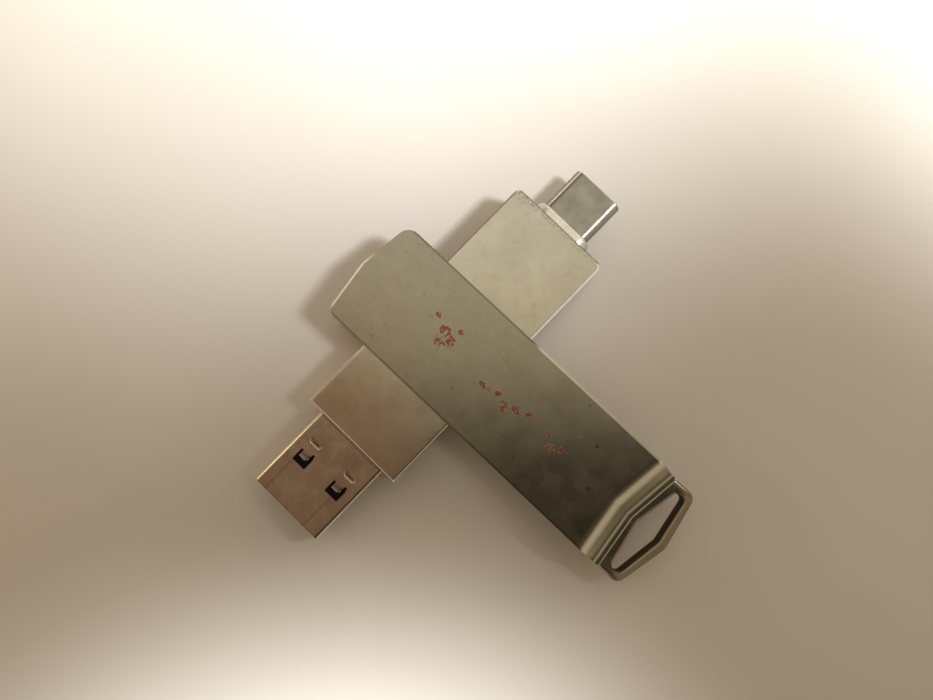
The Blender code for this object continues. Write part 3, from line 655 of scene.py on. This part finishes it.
def sleeve_paint():
    """Smooth stamped metal with faint brushing, grime along its edge at the USB-C end, and painted shade
    and highlights on its rounded edges.
    """
    paint = Paint("sleeve_metal")
    smudge = paint.noise(6.0, 4.0, 14.0, 0.55)
    mottle = paint.noise(1.0, 5.0, 15.0, 0.6)
    grain = paint.noise((0.5, 0.08, 0.5), 2.0, 17.0)
    hairlines = paint.strongest([
        paint.scratches(12.0, 4.0, 0.05, 0.11, 22.0),
        paint.scratches(68.0, 2.5, 0.05, 0.10, 26.0),
    ])
    color = paint.mix(paint.map(smudge, 0.35, 0.65), *SLEEVE_TONES)
    color = paint.tint(color, paint.map(mottle, 0.45, 0.75), 0.18, SLEEVE_STAIN)
    color = paint.tint(color, hairlines, 0.25, SLEEVE_SCRATCH)
    # painted shade: darker and browner towards the USB-A end
    color = paint.mix(paint.map(paint.x, -4.0, -16.0, 0.0, 0.45), color, SLEEVE_A_SHADE)
    along_end = paint.band(paint.x, SLEEVE_X[1] - 0.8, SLEEVE_X[1] - 0.3, 0.3)
    spots = paint.map(paint.noise(0.45, 5.0, 31.0, 0.7), 0.42, 0.62)
    spots = paint.times(spots, paint.map(paint.y, -6.0, 6.0, 0.35, 1.0))
    near_end = paint.map(paint.x, SLEEVE_X[1] - 2.0, SLEEVE_X[1] - 0.7)
    in_corner = paint.times(near_end, paint.map(paint.y, SLEEVE_HALF - 3.6, SLEEVE_HALF - 1.6))
    corner_grime = paint.times(paint.times(in_corner, spots), 0.9)
    darkening = paint.math("MAXIMUM", paint.times(along_end, spots), corner_grime)
    color = paint.tint(color, darkening, 0.75, SLEEVE_GRIME)
    # painted shade and highlight lines along the rounded edges
    for axis, start, full, side, tone, amount in SLEEVE_EDGE_SHADING:
        line = paint.map(getattr(paint, axis), start, full)
        if side:
            line = paint.times(line, paint.map(paint.x, 0.0, 2.0 * side))
        color = paint.tint(color, line, amount, tone)
    roughness = paint.plus(paint.map(smudge, 0.3, 0.7, 0.14, 0.19), paint.times(darkening, 0.25))
    # painted highlights: the rim at the USB-A end and the -Y edge of the USB-C half are made less
    # metallic, so that they look lighter
    a_end_highlight = paint.map(paint.x, SLEEVE_X[0] + 0.24, SLEEVE_X[0] + 0.12, 0.0, 0.4)
    c_side_highlight = paint.map(paint.y, 0.34 - SLEEVE_HALF, 0.24 - SLEEVE_HALF, 0.0, 0.7)
    c_side_highlight = paint.times(c_side_highlight, paint.map(paint.x, 0.0, 2.0))
    metallic = paint.minus(1.0, paint.math("MAXIMUM", a_end_highlight, c_side_highlight))
    height = paint.plus(paint.times(grain, 0.6), paint.times(mottle, 0.8))
    paint.bump(paint.minus(height, paint.times(hairlines, 0.6)), 0.0015)
    return paint.set(color=color, roughness=roughness, metallic=metallic)


PLUG_STAIN, PLUG_SCRATCH = (0.35, 0.30, 0.24), (0.85, 0.82, 0.76)
WEAR_TONE = (0.30, 0.21, 0.15)
WEAR_LENGTH = 5.8               # how far the worn tracks reach behind the USB-A tip


def plug_paint(name, tone, seed, gloss=0.18, wear=(), edges=()):
    """Smooth plated steel, scratched along the plugging direction.

    wear lists tracks: (low y, high y). edges lists painted shade and highlight lines: (axis, start, where
    it is full, tone, amount).
    """
    paint = Paint(name)
    smudge = paint.noise(3.0, 4.0, seed, 0.6)
    mottle = paint.noise(0.6, 5.0, seed + 2.0, 0.65)
    hairlines = paint.strongest([
        paint.scratches(0.0, 5.0, 0.04, 0.14, seed + 4.0),
        paint.scratches(9.0, 3.0, 0.04, 0.12, seed + 8.0),
        paint.scratches(70.0, 1.2, 0.05, 0.10, seed + 12.0),
    ])
    contrast = 0.07
    light = tuple(value * (1 + contrast) for value in tone)
    dark = tuple(value * (1 - contrast) for value in tone)
    color = paint.mix(paint.map(smudge, 0.35, 0.65), dark, light)
    color = paint.tint(color, paint.map(mottle, 0.45, 0.7), 0.22, PLUG_STAIN)
    color = paint.tint(color, hairlines, 0.4, PLUG_SCRATCH)
    roughness = paint.map(smudge, 0.3, 0.7, gloss, gloss + 0.08)
    roughness = paint.plus(roughness, paint.times(hairlines, 0.1))
    if wear:
        ahead = paint.map(paint.x, A_TIP_X + WEAR_LENGTH - 0.4, A_TIP_X + WEAR_LENGTH, 1.0, 0.0)
        fine = paint.map(paint.noise((4.0, 0.3, 1.0), 3.0, seed + 5.0), 0.25, 0.6)
        tracks = paint.strongest([paint.band(paint.y, low, high, 0.14) for low, high in wear])
        tracks = paint.times(paint.times(tracks, ahead), fine)
        color = paint.tint(color, tracks, 0.5, WEAR_TONE)
    # painted shade and highlight lines along the edges
    for axis, start, full, line_tone, amount in edges:
        line = paint.map(getattr(paint, axis), start, full)
        color = paint.tint(color, line, amount, line_tone)
    height = paint.minus(mottle, paint.times(hairlines, 0.8))
    paint.bump(height, 0.0003)
    return paint.set(color=color, roughness=roughness, metallic=1.0)


def plain_paint(name, low, high, size, roughness, metallic=0.0, depth=0.004, specular=0.5):
    """A moulded, plated or ceramic surface: two close tones in a fine grain, uneven gloss, some bump."""
    paint = Paint(name)
    grain = paint.noise(size, 4.0, 2.0, 0.6)
    patch = paint.noise(size * 12, 2.0, 4.0)
    color = paint.mix(paint.map(grain, 0.3, 0.7), low, high)
    gloss = paint.map(patch, 0.3, 0.7, roughness * 0.85, roughness * 1.15)
    paint.bump(grain, depth)
    return paint.set(color=color, roughness=gloss, metallic=metallic, specular=specular)


def board_paint():
    """Green solder mask with faint copper tracks under it."""
    paint = Paint("board_green")
    off_line = paint.off(paint.noise((3.0, 0.7, 1.0), 0.0, 3.0), 0.5)
    tracks = paint.map(off_line, 0.0, 0.02, 1.0, 0.0)
    fine = paint.noise(0.2, 3.0, 8.0)
    color = paint.mix(fine, (0.012, 0.09, 0.035), (0.02, 0.13, 0.055))
    color = paint.tint(color, tracks, 0.5, (0.06, 0.24, 0.09))
    paint.bump(tracks, 0.02)
    return paint.set(color=color, roughness=0.35)


# Painted light and shade on the USB-A plug: a highlight along its +Y edge, a shade line along its -Y edge
# with a lighter strip beyond it, and shade at the tip and where it meets the sleeve.
USB_A_EDGE_SHADING = (
    ("y", A_WIDTH / 2 - 0.40, A_WIDTH / 2 - 0.28, EDGE_HIGHLIGHT, 0.9),
    ("y", 0.55 - A_WIDTH / 2, 0.45 - A_WIDTH / 2, EDGE_SHADE, 0.75),
    ("y", 0.20 - A_WIDTH / 2, 0.10 - A_WIDTH / 2, (0.62, 0.54, 0.46), 0.9),
    ("x", A_TIP_X + 0.25, A_TIP_X + 0.10, EDGE_SHADE, 0.4),
    ("x", SLEEVE_X[0] - 0.7, SLEEVE_X[0] - 0.1, EDGE_SHADE, 0.6),
)
# Painted shade, highlight and shade lines along the USB-C plug's rounded +Y side.
USB_C_EDGE_SHADING = (
    ("y", 3.20, 3.30, EDGE_SHADE, 0.7),
    ("y", 3.46, 3.54, (0.80, 0.74, 0.64), 0.9),
    ("y", 3.74, 3.80, EDGE_SHADE, 0.85),
)

USB_A_TRACKS = ((3.95, 4.25), (-3.45, -3.15))
COLLAR_TONE = (0.68, 0.67, 0.60)
USB_A_TONE = (0.61, 0.545, 0.465)
USB_C_TONE = (0.36, 0.335, 0.28)
PLAIN = {
    # darker tone, lighter tone, size of the grain, roughness; then metallic, bump depth, specular
    "nickel": ((0.58, 0.56, 0.52), (0.66, 0.64, 0.60), 0.15, 0.25, 1.0),
    "contact_gold": ((0.78, 0.55, 0.20), (0.86, 0.64, 0.28), 0.12, 0.22, 1.0),
    "black_plastic": ((0.003, 0.003, 0.003), (0.007, 0.007, 0.006), 0.1, 0.6, 0.0, 0.004, 0.12),
    "carrier_plastic": ((0.07, 0.07, 0.075), (0.11, 0.11, 0.115), 0.1, 0.5),
    "washer_plastic": ((0.74, 0.73, 0.69), (0.84, 0.83, 0.79), 0.15, 0.4),
    "chip": ((0.018, 0.018, 0.02), (0.04, 0.04, 0.045), 0.08, 0.6),
    "ceramic": ((0.36, 0.25, 0.14), (0.46, 0.33, 0.20), 0.08, 0.5),
    "resistor_black": ((0.02, 0.02, 0.02), (0.05, 0.05, 0.05), 0.08, 0.35),
}
MATERIALS = {
    "cover_metal": cover_paint(),
    "sleeve_metal": sleeve_paint(),
    "plug_steel": plug_paint("usb_c_steel", USB_C_TONE, 40.0, 0.27, (), USB_C_EDGE_SHADING),
    "collar_steel": plug_paint("collar_steel", COLLAR_TONE, 50.0, 0.36),
    "usb_a_steel": plug_paint("usb_a_steel", USB_A_TONE, 60.0, 0.18, USB_A_TRACKS, USB_A_EDGE_SHADING),
    "board_green": board_paint(),
}
MATERIALS.update({name: plain_paint(name, *looks) for name, looks in PLAIN.items()})


# ---------------------------------------------------------------- cover

def cover_outline(inset=0.0):
    open_corner = COVER_LOW.x + OPEN_END_RISE
    loop_corner = COVER_HIGH.x - LOOP_TIP_RISE
    half = COVER_HALF - inset
    return rounded([
        (COVER_LOW.x, 0.0, OPEN_MIDDLE_RADIUS),
        (open_corner, -half, CORNER_RADIUS),
        (loop_corner - inset, -half, CORNER_RADIUS),
        (COVER_HIGH.x - inset, 0.0, TIP_RADIUS),
        (loop_corner - inset, half, CORNER_RADIUS),
        (open_corner, half, WORN_CORNER_RADIUS),
    ], 9)


def cover_side():
    """Side view of the cover: flat faces, slopes, a shallow hollow before the ring, the thinner loop."""
    plateau = MID_Z + LOOP_THICKNESS / 2
    hollow = plateau - HOLLOW_DEPTH
    past_ends = 5.0
    upper = [
        (COVER_LOW.x - past_ends, HEIGHT, 0.0),
        (SLOPE_X, HEIGHT, SLOPE_BEND),
        (SLOPE_FOOT_X, hollow, FOOT_BEND),
        (RING_X - 0.1, hollow, 0.0),
        (RING_X + 0.05, plateau, 0.18),
        (COVER_HIGH.x + past_ends, plateau, 0.0),
    ]
    lower = [(x, HEIGHT - z, radius) for x, z, radius in reversed(upper)]
    return rounded(upper + lower, 8)


def shear_chevron(obj):
    """Folds the object at the middle line, so that both halves slant back from it."""
    bm = bmesh.new()
    bm.from_mesh(obj.data)
    everything = bm.verts[:] + bm.edges[:] + bm.faces[:]
    bmesh.ops.bisect_plane(bm, geom=everything, plane_co=(0, 0, 0), plane_no=(0, 1, 0))
    for vertex in bm.verts:
        vertex.co.x += abs(vertex.co.y) * math.tan(CHEVRON)
    bm.to_mesh(obj.data)
    bm.free()
    return obj


def ring_cutter():
    """Everything past the hollow that lies outside the ring's own rounded bar."""
    skin = 0.01
    half = LOOP_THICKNESS / 2
    bar = solid(cover_outline(skin), (MID_Z - half + skin, MID_Z + half - skin))
    round_edges(bar, lambda point: RING_ROUNDING, 6)
    start = RING_X + 0.16
    past = shear_chevron(block((start, COVER_HIGH.x + 5.0), ACROSS, TALLER))
    return join(past, bar)


def hole_outline():
    half = HOLE_HALF_LENGTH
    return rounded([
        (HOLE_X[0], 0.0, HOLE_MIDDLE_RADIUS),
        (HOLE_END_X[0], -half, HOLE_END_RADIUS),
        (HOLE_END_X[1], -half, HOLE_END_RADIUS),
        (HOLE_X[1], 0.0, HOLE_MIDDLE_RADIUS),
        (HOLE_END_X[1], half, HOLE_END_RADIUS),
        (HOLE_END_X[0], half, HOLE_END_RADIUS),
    ], 9)


def cover_edge_width(point):
    """Rounding of the cover's edges. The ring's outside is round already."""
    across = abs(point.y)
    far_wall = HOLE_X[1] + 0.1 - 0.16 * across
    if across < HOLE_HALF_LENGTH + 0.05 and HOLE_X[0] - 0.1 < point.x < far_wall:
        return HOLE_ROUNDING
    if point.x - across * math.tan(CHEVRON) > SLOPE_FOOT_X + 0.45:
        return 0.0
    on_outer_face = abs(point.z - MID_Z) > MID_Z - PLATE + 0.01
    return OUTER_ROUNDING if on_outer_face else INNER_ROUNDING


def build_cover():
    cover = solid(cover_outline(), TALLER)
    join(cover, shear_chevron(solid(cover_side(), ACROSS, "Y")), "INTERSECT")
    top = HEIGHT - PLATE
    upper = [(COVER_LOW.x - OVER, top), (CAVITY_LEVEL_X, top), (CAVITY_END_X, CAVITY_CEILING)]
    lower = [(x, HEIGHT - z) for x, z in reversed(upper)]
    join(cover, solid(upper + lower, ACROSS, "Y"))
    join(cover, ring_cutter())
    join(cover, solid(hole_outline(), THROUGH))
    round_edges(cover, cover_edge_width, 5)
    clear = 0.5
    for low in (top - clear, PLATE - SEAT_DEPTH):
        join(cover, cylinder(SEAT_RADIUS, (low, low + SEAT_DEPTH + clear)))
    metal = MATERIALS["cover_metal"]
    return finish_piece(cover, "cover_shell", metal, "cover", "cover_metal", "swivel_cover")


# ---------------------------------------------------------------- drive

def build_sleeve():
    start, end = SLEEVE_X
    outline = rounded([
        (start, -SLEEVE_HALF, 0.0),
        (end, -SLEEVE_HALF, SLEEVE_CORNER),
        (end, SLEEVE_HALF, SLEEVE_CORNER),
        (start, SLEEVE_HALF, 0.0),
    ])
    low, high = MID_Z - SLEEVE_HEIGHT / 2, MID_Z + SLEEVE_HEIGHT / 2
    sleeve = solid(outline, (low, high))
    round_edges(sleeve, lambda point: SLEEVE_ROUNDING if point.x > start + 0.01 else 0.0, 6)
    inner = rectangle((-SLEEVE_HALF + SLEEVE_WALL, SLEEVE_HALF - SLEEVE_WALL),
                      (low + SLEEVE_WALL, high - SLEEVE_WALL))
    join(sleeve, solid(inner, (start - OVER, end - SLEEVE_END_WALL), "X"))
    opening = stadium(COLLAR_WIDTH - OPENING_LESS, COLLAR_HEIGHT - OPENING_LESS)
    join(sleeve, solid(opening, (end - OVER, end + OVER), "X"))
    join(sleeve, cylinder(PIN_HOLE_RADIUS, THROUGH))
    round_edges(sleeve, lambda point: SLEEVE_OPEN_ROUNDING if point.x < start + 0.01 else 0.0, 3, 50.0)
    metal = MATERIALS["sleeve_metal"]
    return finish_piece(sleeve, "sleeve_shell", metal, "drive", "sleeve_metal", "body_sleeve", turned=True)


def build_collar():
    end = SLEEVE_X[1]
    collar = solid(stadium(COLLAR_WIDTH, COLLAR_HEIGHT), (end + COLLAR_GAP, COLLAR_END_X), "X")
    front = COLLAR_END_X - 0.01
    round_edges(collar, lambda point: COLLAR_ROUNDING if point.x > front else COLLAR_REAR_ROUNDING, 6)
    neck = stadium(COLLAR_WIDTH - NECK_LESS, COLLAR_HEIGHT - NECK_LESS)
    join(collar, solid(neck, (end + NECK_X[0], end + NECK_X[1]), "X"), "UNION")
    hole = stadium(C_WIDTH + COLLAR_PLAY, C_HEIGHT + COLLAR_PLAY)
    join(collar, solid(hole, (end - OVER, COLLAR_END_X + OVER), "X"))
    steel = MATERIALS["collar_steel"]
    return finish_piece(collar, "collar_ring", steel, "drive", "plug_steel", "usb_c_collar", turned=True)


def build_usb_c_shell():
    shell = solid(stadium(C_WIDTH, C_HEIGHT, C_STEPS), (C_REAR_X, C_TIP_X), "X")
    round_edges(shell, lambda point: C_LIP_ROUNDING if point.x > C_TIP_X - 0.01 else 0.0)
    inner = stadium(C_WIDTH - 2 * C_WALL, C_HEIGHT - 2 * C_WALL, C_STEPS)
    join(shell, solid(inner, (C_REAR_X - OVER, C_TIP_X + OVER), "X"))
    steel = MATERIALS["plug_steel"]
    name = "usb_c_shell_detail"
    return finish_piece(shell, name, steel, "drive", "plug_steel", "usb_c_shell", turned=True)


def window_tongue(y_range, length, top):
    """Spring tongue in a latch window: it starts at the window's rear edge and dips inwards."""
    rear = A_TIP_X + WINDOW_X[1]
    surface = MID_Z + A_HEIGHT / 2
    places = (rear + 0.1, rear - 0.4 * length, rear - length)
    profile = [(x, surface - depth) for x, depth in zip(places, TONGUE_FACE)]
    profile += [(x, surface - depth) for x, depth in zip(places[::-1], TONGUE_BACK[::-1])]
    if not top:
        profile = [(x, HEIGHT - z) for x, z in reversed(profile)]
    return solid(profile, y_range, "Y")


def dimple_cutter(y, face):
    """An oval dish with sloping sides, centred on one face of the shell."""
    x = A_TIP_X + DIMPLE_X
    half_x, half_y = DIMPLE_HALF
    oval = rectangle((x - half_x, x + half_x), (y - half_y, y + half_y), half_x - 0.01, 10)
    cutter = solid(oval, (face - DIMPLE_DEPTH, face + DIMPLE_DEPTH))
    return round_edges(cutter, lambda point: DIMPLE_DEPTH - 0.005, 3)


def build_usb_a_shell():
    """Folded steel: latch windows with tongues, pressed dimples on both faces and a seam underneath."""
    shell = solid(a_section(), (A_TIP_X, A_REAR_X), "X")
    round_edges(shell, lambda point: A_LIP_ROUNDING if point.x < A_TIP_X + 0.01 else 0.0)
    join(shell, solid(a_section(-A_WALL), (A_TIP_X - OVER, A_REAR_X + OVER), "X"))
    front, rear = A_TIP_X + WINDOW_X[0], A_TIP_X + WINDOW_X[1]
    slit_x = A_TIP_X + DIMPLE_X
    for sign in (1, -1):
        y = sign * WINDOW_Y
        window = rectangle((front, rear), (y - WINDOW_HALF, y + WINDOW_HALF), WINDOW_CORNER, 4)
        join(shell, solid(window, THROUGH))
        notch = rectangle((rear + NOTCH_X[0], rear + NOTCH_X[1]), (y + NOTCH_Y[0], y + NOTCH_Y[1]),
                          NOTCH_CORNER, 4)
        join(shell, solid(notch, THROUGH))
        for top in (True, False):
            for (low_y, high_y), length in TONGUES:
                join(shell, window_tongue((y + low_y, y + high_y), length, top), "UNION")
            face = MID_Z + (A_HEIGHT / 2 if top else -A_HEIGHT / 2)
            dimple_y = sign * DIMPLE_Y
            join(shell, dimple_cutter(dimple_y, face))
            slit = rectangle((slit_x + SLIT_X[0], slit_x + SLIT_X[1]),
                             (dimple_y - SLIT_HALF, dimple_y + SLIT_HALF), SLIT_CORNER, 4)
            join(shell, solid(slit, (face - SLIT_DEPTH, face + SLIT_DEPTH)))
    under = MID_Z - A_HEIGHT / 2
    seam_z = (under - 1.0, under + SEAM_DEPTH)
    join(shell, block((A_TIP_X - 1.0, A_REAR_X + OVER), (-SEAM_HALF, SEAM_HALF), seam_z))
    steel = MATERIALS["usb_a_steel"]
    name = "usb_a_shell_detail"
    return finish_piece(shell, name, steel, "drive", "plug_steel", "usb_a_shell", turned=True)


# ---------------------------------------------------------------- frame pieces that stay

def dress_frame():
    """The pieces that keep their frame shape get their worked materials and slightly softened edges."""
    slots = {entry["node"]: entry["material_slot"] for entry in frame["record"]["subparts"]}
    for name, obj in frame["nodes"].items():
        if obj.hide_render:
            continue
        obj.data.materials.clear()
        obj.data.materials.append(MATERIALS[slots[name]])
        soften = obj.modifiers.new("soft edges", "BEVEL")
        soften.width = SOFT_EDGE * MM
        soften.segments = 2
        soften.limit_method = "ANGLE"
        soften.angle_limit = math.radians(50)


# ---------------------------------------------------------------- stage

FLOOR_TONES = (0.75, 0.715, 0.67), (0.79, 0.755, 0.71)
FIBRE_TONE = (0.67, 0.63, 0.58)
FLOOR_REACH = 1500
FLOOR_DROP = 0.02               # keeps the table just under the part, so that no faces coincide


def build_floor():
    paint = Paint("pale_table")
    cloud = paint.noise(60.0, 3.0, 2.0)
    fibre = paint.noise(0.35, 4.0, 5.0, 0.6)
    color = paint.mix(paint.map(cloud, 0.3, 0.7), *FLOOR_TONES)
    color = paint.tint(color, fibre, 0.12, FIBRE_TONE)
    paint.bump(fibre, 0.01)
    paint.set(color=color, roughness=0.6, specular=0.25)
    reach = (-FLOOR_REACH, FLOOR_REACH)
    floor = block(reach, reach, (-2.0, -FLOOR_DROP))
    floor.name = "table"
    floor.data.transform(Matrix.Diagonal((MM, MM, MM, 1.0)))
    floor.data.materials.append(paint.material)


PHOTO_UP = Vector((-0.684, 0.725, 0.0))         # towards the top of the photo, on the table
PHOTO_RIGHT = Vector((0.7275, 0.686, 0.0))
MIDDLE = Vector((2.5, 1.3, 0.0))                # under the middle of the photo


def on_table(up, right):
    """The place this far above and to the right of the photo's middle, in millimetres on the table."""
    return MIDDLE + PHOTO_UP * up + PHOTO_RIGHT * right


def add_light(data, place, target, power, color):
    data.energy = power
    data.color = color
    light = bpy.data.objects.new(data.name, data)
    light.location = Vector(place) * MM
    light.rotation_euler = (Vector(place) - Vector(target)).to_track_quat("Z", "Y").to_euler()
    bpy.context.scene.collection.objects.link(light)


def add_panel(name, place, target, size, power, color):
    """A rectangular light that faces the target."""
    data = bpy.data.lights.new(name, "AREA")
    data.shape = "RECTANGLE"
    data.size, data.size_y = size[0] * MM, size[1] * MM
    add_light(data, place, target, power, color)


def add_spot(name, place, target, radius, power, color):
    """A soft round pool of light: radius is the pool's own on the table."""
    data = bpy.data.lights.new(name, "SPOT")
    data.spot_size = 2 * math.atan2(radius, (place - target).length)
    data.spot_blend = 1.0
    data.shadow_soft_size = KEY_SIZE * MM
    add_light(data, place, target, power, color)


KEY_SIZE = 27.0
COLD_WHITE = (0.97, 0.99, 1.0)


def build_lights():
    high = Vector((0.0, 0.0, 220.0))
    key = on_table(0.0, 119.5) + high
    add_spot("key_left", key, on_table(84.0, -32.0), 98.0, 3.7, COLD_WHITE)
    add_spot("key_right", key, on_table(86.0, 84.0), 76.0, 2.4, COLD_WHITE)
    add_spot("key_corner", key, on_table(48.0, 112.0), 52.0, 2.2, (0.99, 1.0, 1.0))
    add_spot("key_near", key, on_table(-92.0, -26.0), 50.0, 11.0, (0.97, 0.98, 0.98))
    window = on_table(88.0, 0.0) + Vector((0.0, 0.0, 34.0))
    add_panel("window", window, on_table(78.0, 0.0), (220.0, 30.0), 0.035, (1.0, 0.96, 0.88))
    low_left, far_side = (-115.0, -50.0, 60.0), (55.0, 120.0, 55.0)
    add_panel("low_left", low_left, (0.0, -15.0, 0.0), (20.0, 70.0), 0.008, (1.0, 0.80, 0.50))
    add_panel("far_side", far_side, (20.0, 5.0, 0.0), (70.0, 20.0), 0.012, (1.0, 0.93, 0.80))


SKY_AWAY = (0.11, 0.068, 0.038)
SKY_ABOVE = (0.26, 0.175, 0.105)
SKY_BEYOND = (0.78, 0.55, 0.36)
CEILING_SPREAD = (28.0, 48.0)   # half angles in degrees: all ceiling inside, none outside
CEILING = (
    # lean towards the top of the photo, colour there
    (-0.26, (0.085, 0.066, 0.036)),
    (-0.20, (0.060, 0.047, 0.026)),
    (-0.15, (0.034, 0.027, 0.014)),
    (-0.10, (0.028, 0.022, 0.012)),
    (-0.04, (0.08, 0.065, 0.044)),
    (0.02, (0.26, 0.22, 0.145)),
    (0.08, (0.53, 0.45, 0.29)),
    (0.15, (0.58, 0.52, 0.37)),
    (0.24, (0.70, 0.65, 0.52)),
)
PATCHES = (
    # direction, inner and outer half angle in degrees, colour there
    ((-0.16, -0.30, 1.0), 7.0, 18.0, (0.25, 0.145, 0.085)),
    ((0.0, -1.0, 0.12), 12.0, 30.0, (0.60, 0.42, 0.32)),
    ((1.0, 0.0, 0.10), 22.0, 42.0, (0.82, 0.72, 0.53)),
    ((-1.0, 0.35, 0.15), 25.0, 50.0, (0.16, 0.12, 0.08)),
    ((0.25, 1.0, 0.10), 15.0, 35.0, (0.95, 0.85, 0.66)),
)


def build_sky():
    """A warm room: bright beyond the top of the photo, with a ceiling that is dim towards its bottom."""
    world = bpy.data.worlds.new("soft_room")
    bpy.context.scene.world = world
    world.use_nodes = True
    sky = Nodes(world.node_tree)
    place = sky.tree.nodes.new("ShaderNodeTexCoord").outputs["Generated"]

    def lean(direction):
        values = {0: place, 1: Vector(direction).normalized()}
        return sky.add("ShaderNodeVectorMath", values, operation="DOT_PRODUCT").outputs["Value"]

    def lobe(direction, inner, outer):
        edge, core = math.cos(math.radians(outer)), math.cos(math.radians(inner))
        return sky.map(lean(direction), edge, core)

    def ramp(value, stops):
        share = sky.add("ShaderNodeMapRange", {"Value": value, "From Min": -1.0}).outputs[0]
        node = sky.add("ShaderNodeValToRGB", {0: share})
        elements = node.color_ramp.elements
        while len(elements) < len(stops):
            elements.new(0.5)
        for element, (position, color) in zip(elements, stops):
            element.position = (position + 1) / 2
            element.color = (*color, 1.0)
        return node.outputs[0]

    up = lean(PHOTO_UP)
    wide = ramp(up, ((-0.9, SKY_AWAY), (0.0, SKY_ABOVE), (0.9, SKY_BEYOND)))
    overhead = lobe((0.0, 0.0, 1.0), *CEILING_SPREAD)
    color = sky.mix(overhead, wide, ramp(up, CEILING))
    for direction, inner, outer, tone in PATCHES:
        color = sky.mix(lobe(direction, inner, outer), color, tone)
    sky.feed(sky.tree.nodes["Background"].inputs["Color"], color)


CAMERA_PLACE = Vector((8.266, -5.821, 114.449))     # fitted to the photo, in millimetres
CAMERA_TARGET = Vector((2.469, 1.297, 4.7))
CAMERA_UP = Vector((-0.68407, 0.72467, 0.08313))
CAMERA_LENS = 29.685


def build_camera():
    data = bpy.data.cameras.new("camera")
    data.sensor_width = 36.0
    data.lens = CAMERA_LENS
    data.clip_start = 0.001
    camera = bpy.data.objects.new("camera", data)
    ahead = (CAMERA_TARGET - CAMERA_PLACE).normalized()
    right = ahead.cross(CAMERA_UP).normalized()
    turn = Matrix((right, right.cross(ahead), -ahead)).transposed()
    camera.matrix_world = Matrix.Translation(CAMERA_PLACE * MM) @ turn.to_4x4()
    bpy.context.scene.collection.objects.link(camera)
    bpy.context.scene.camera = camera


build_cover()
build_sleeve()
build_collar()
build_usb_c_shell()
build_usb_a_shell()
dress_frame()
build_floor()
build_lights()
build_sky()
build_camera()
bpy.context.scene.view_settings.view_transform = "Standard"
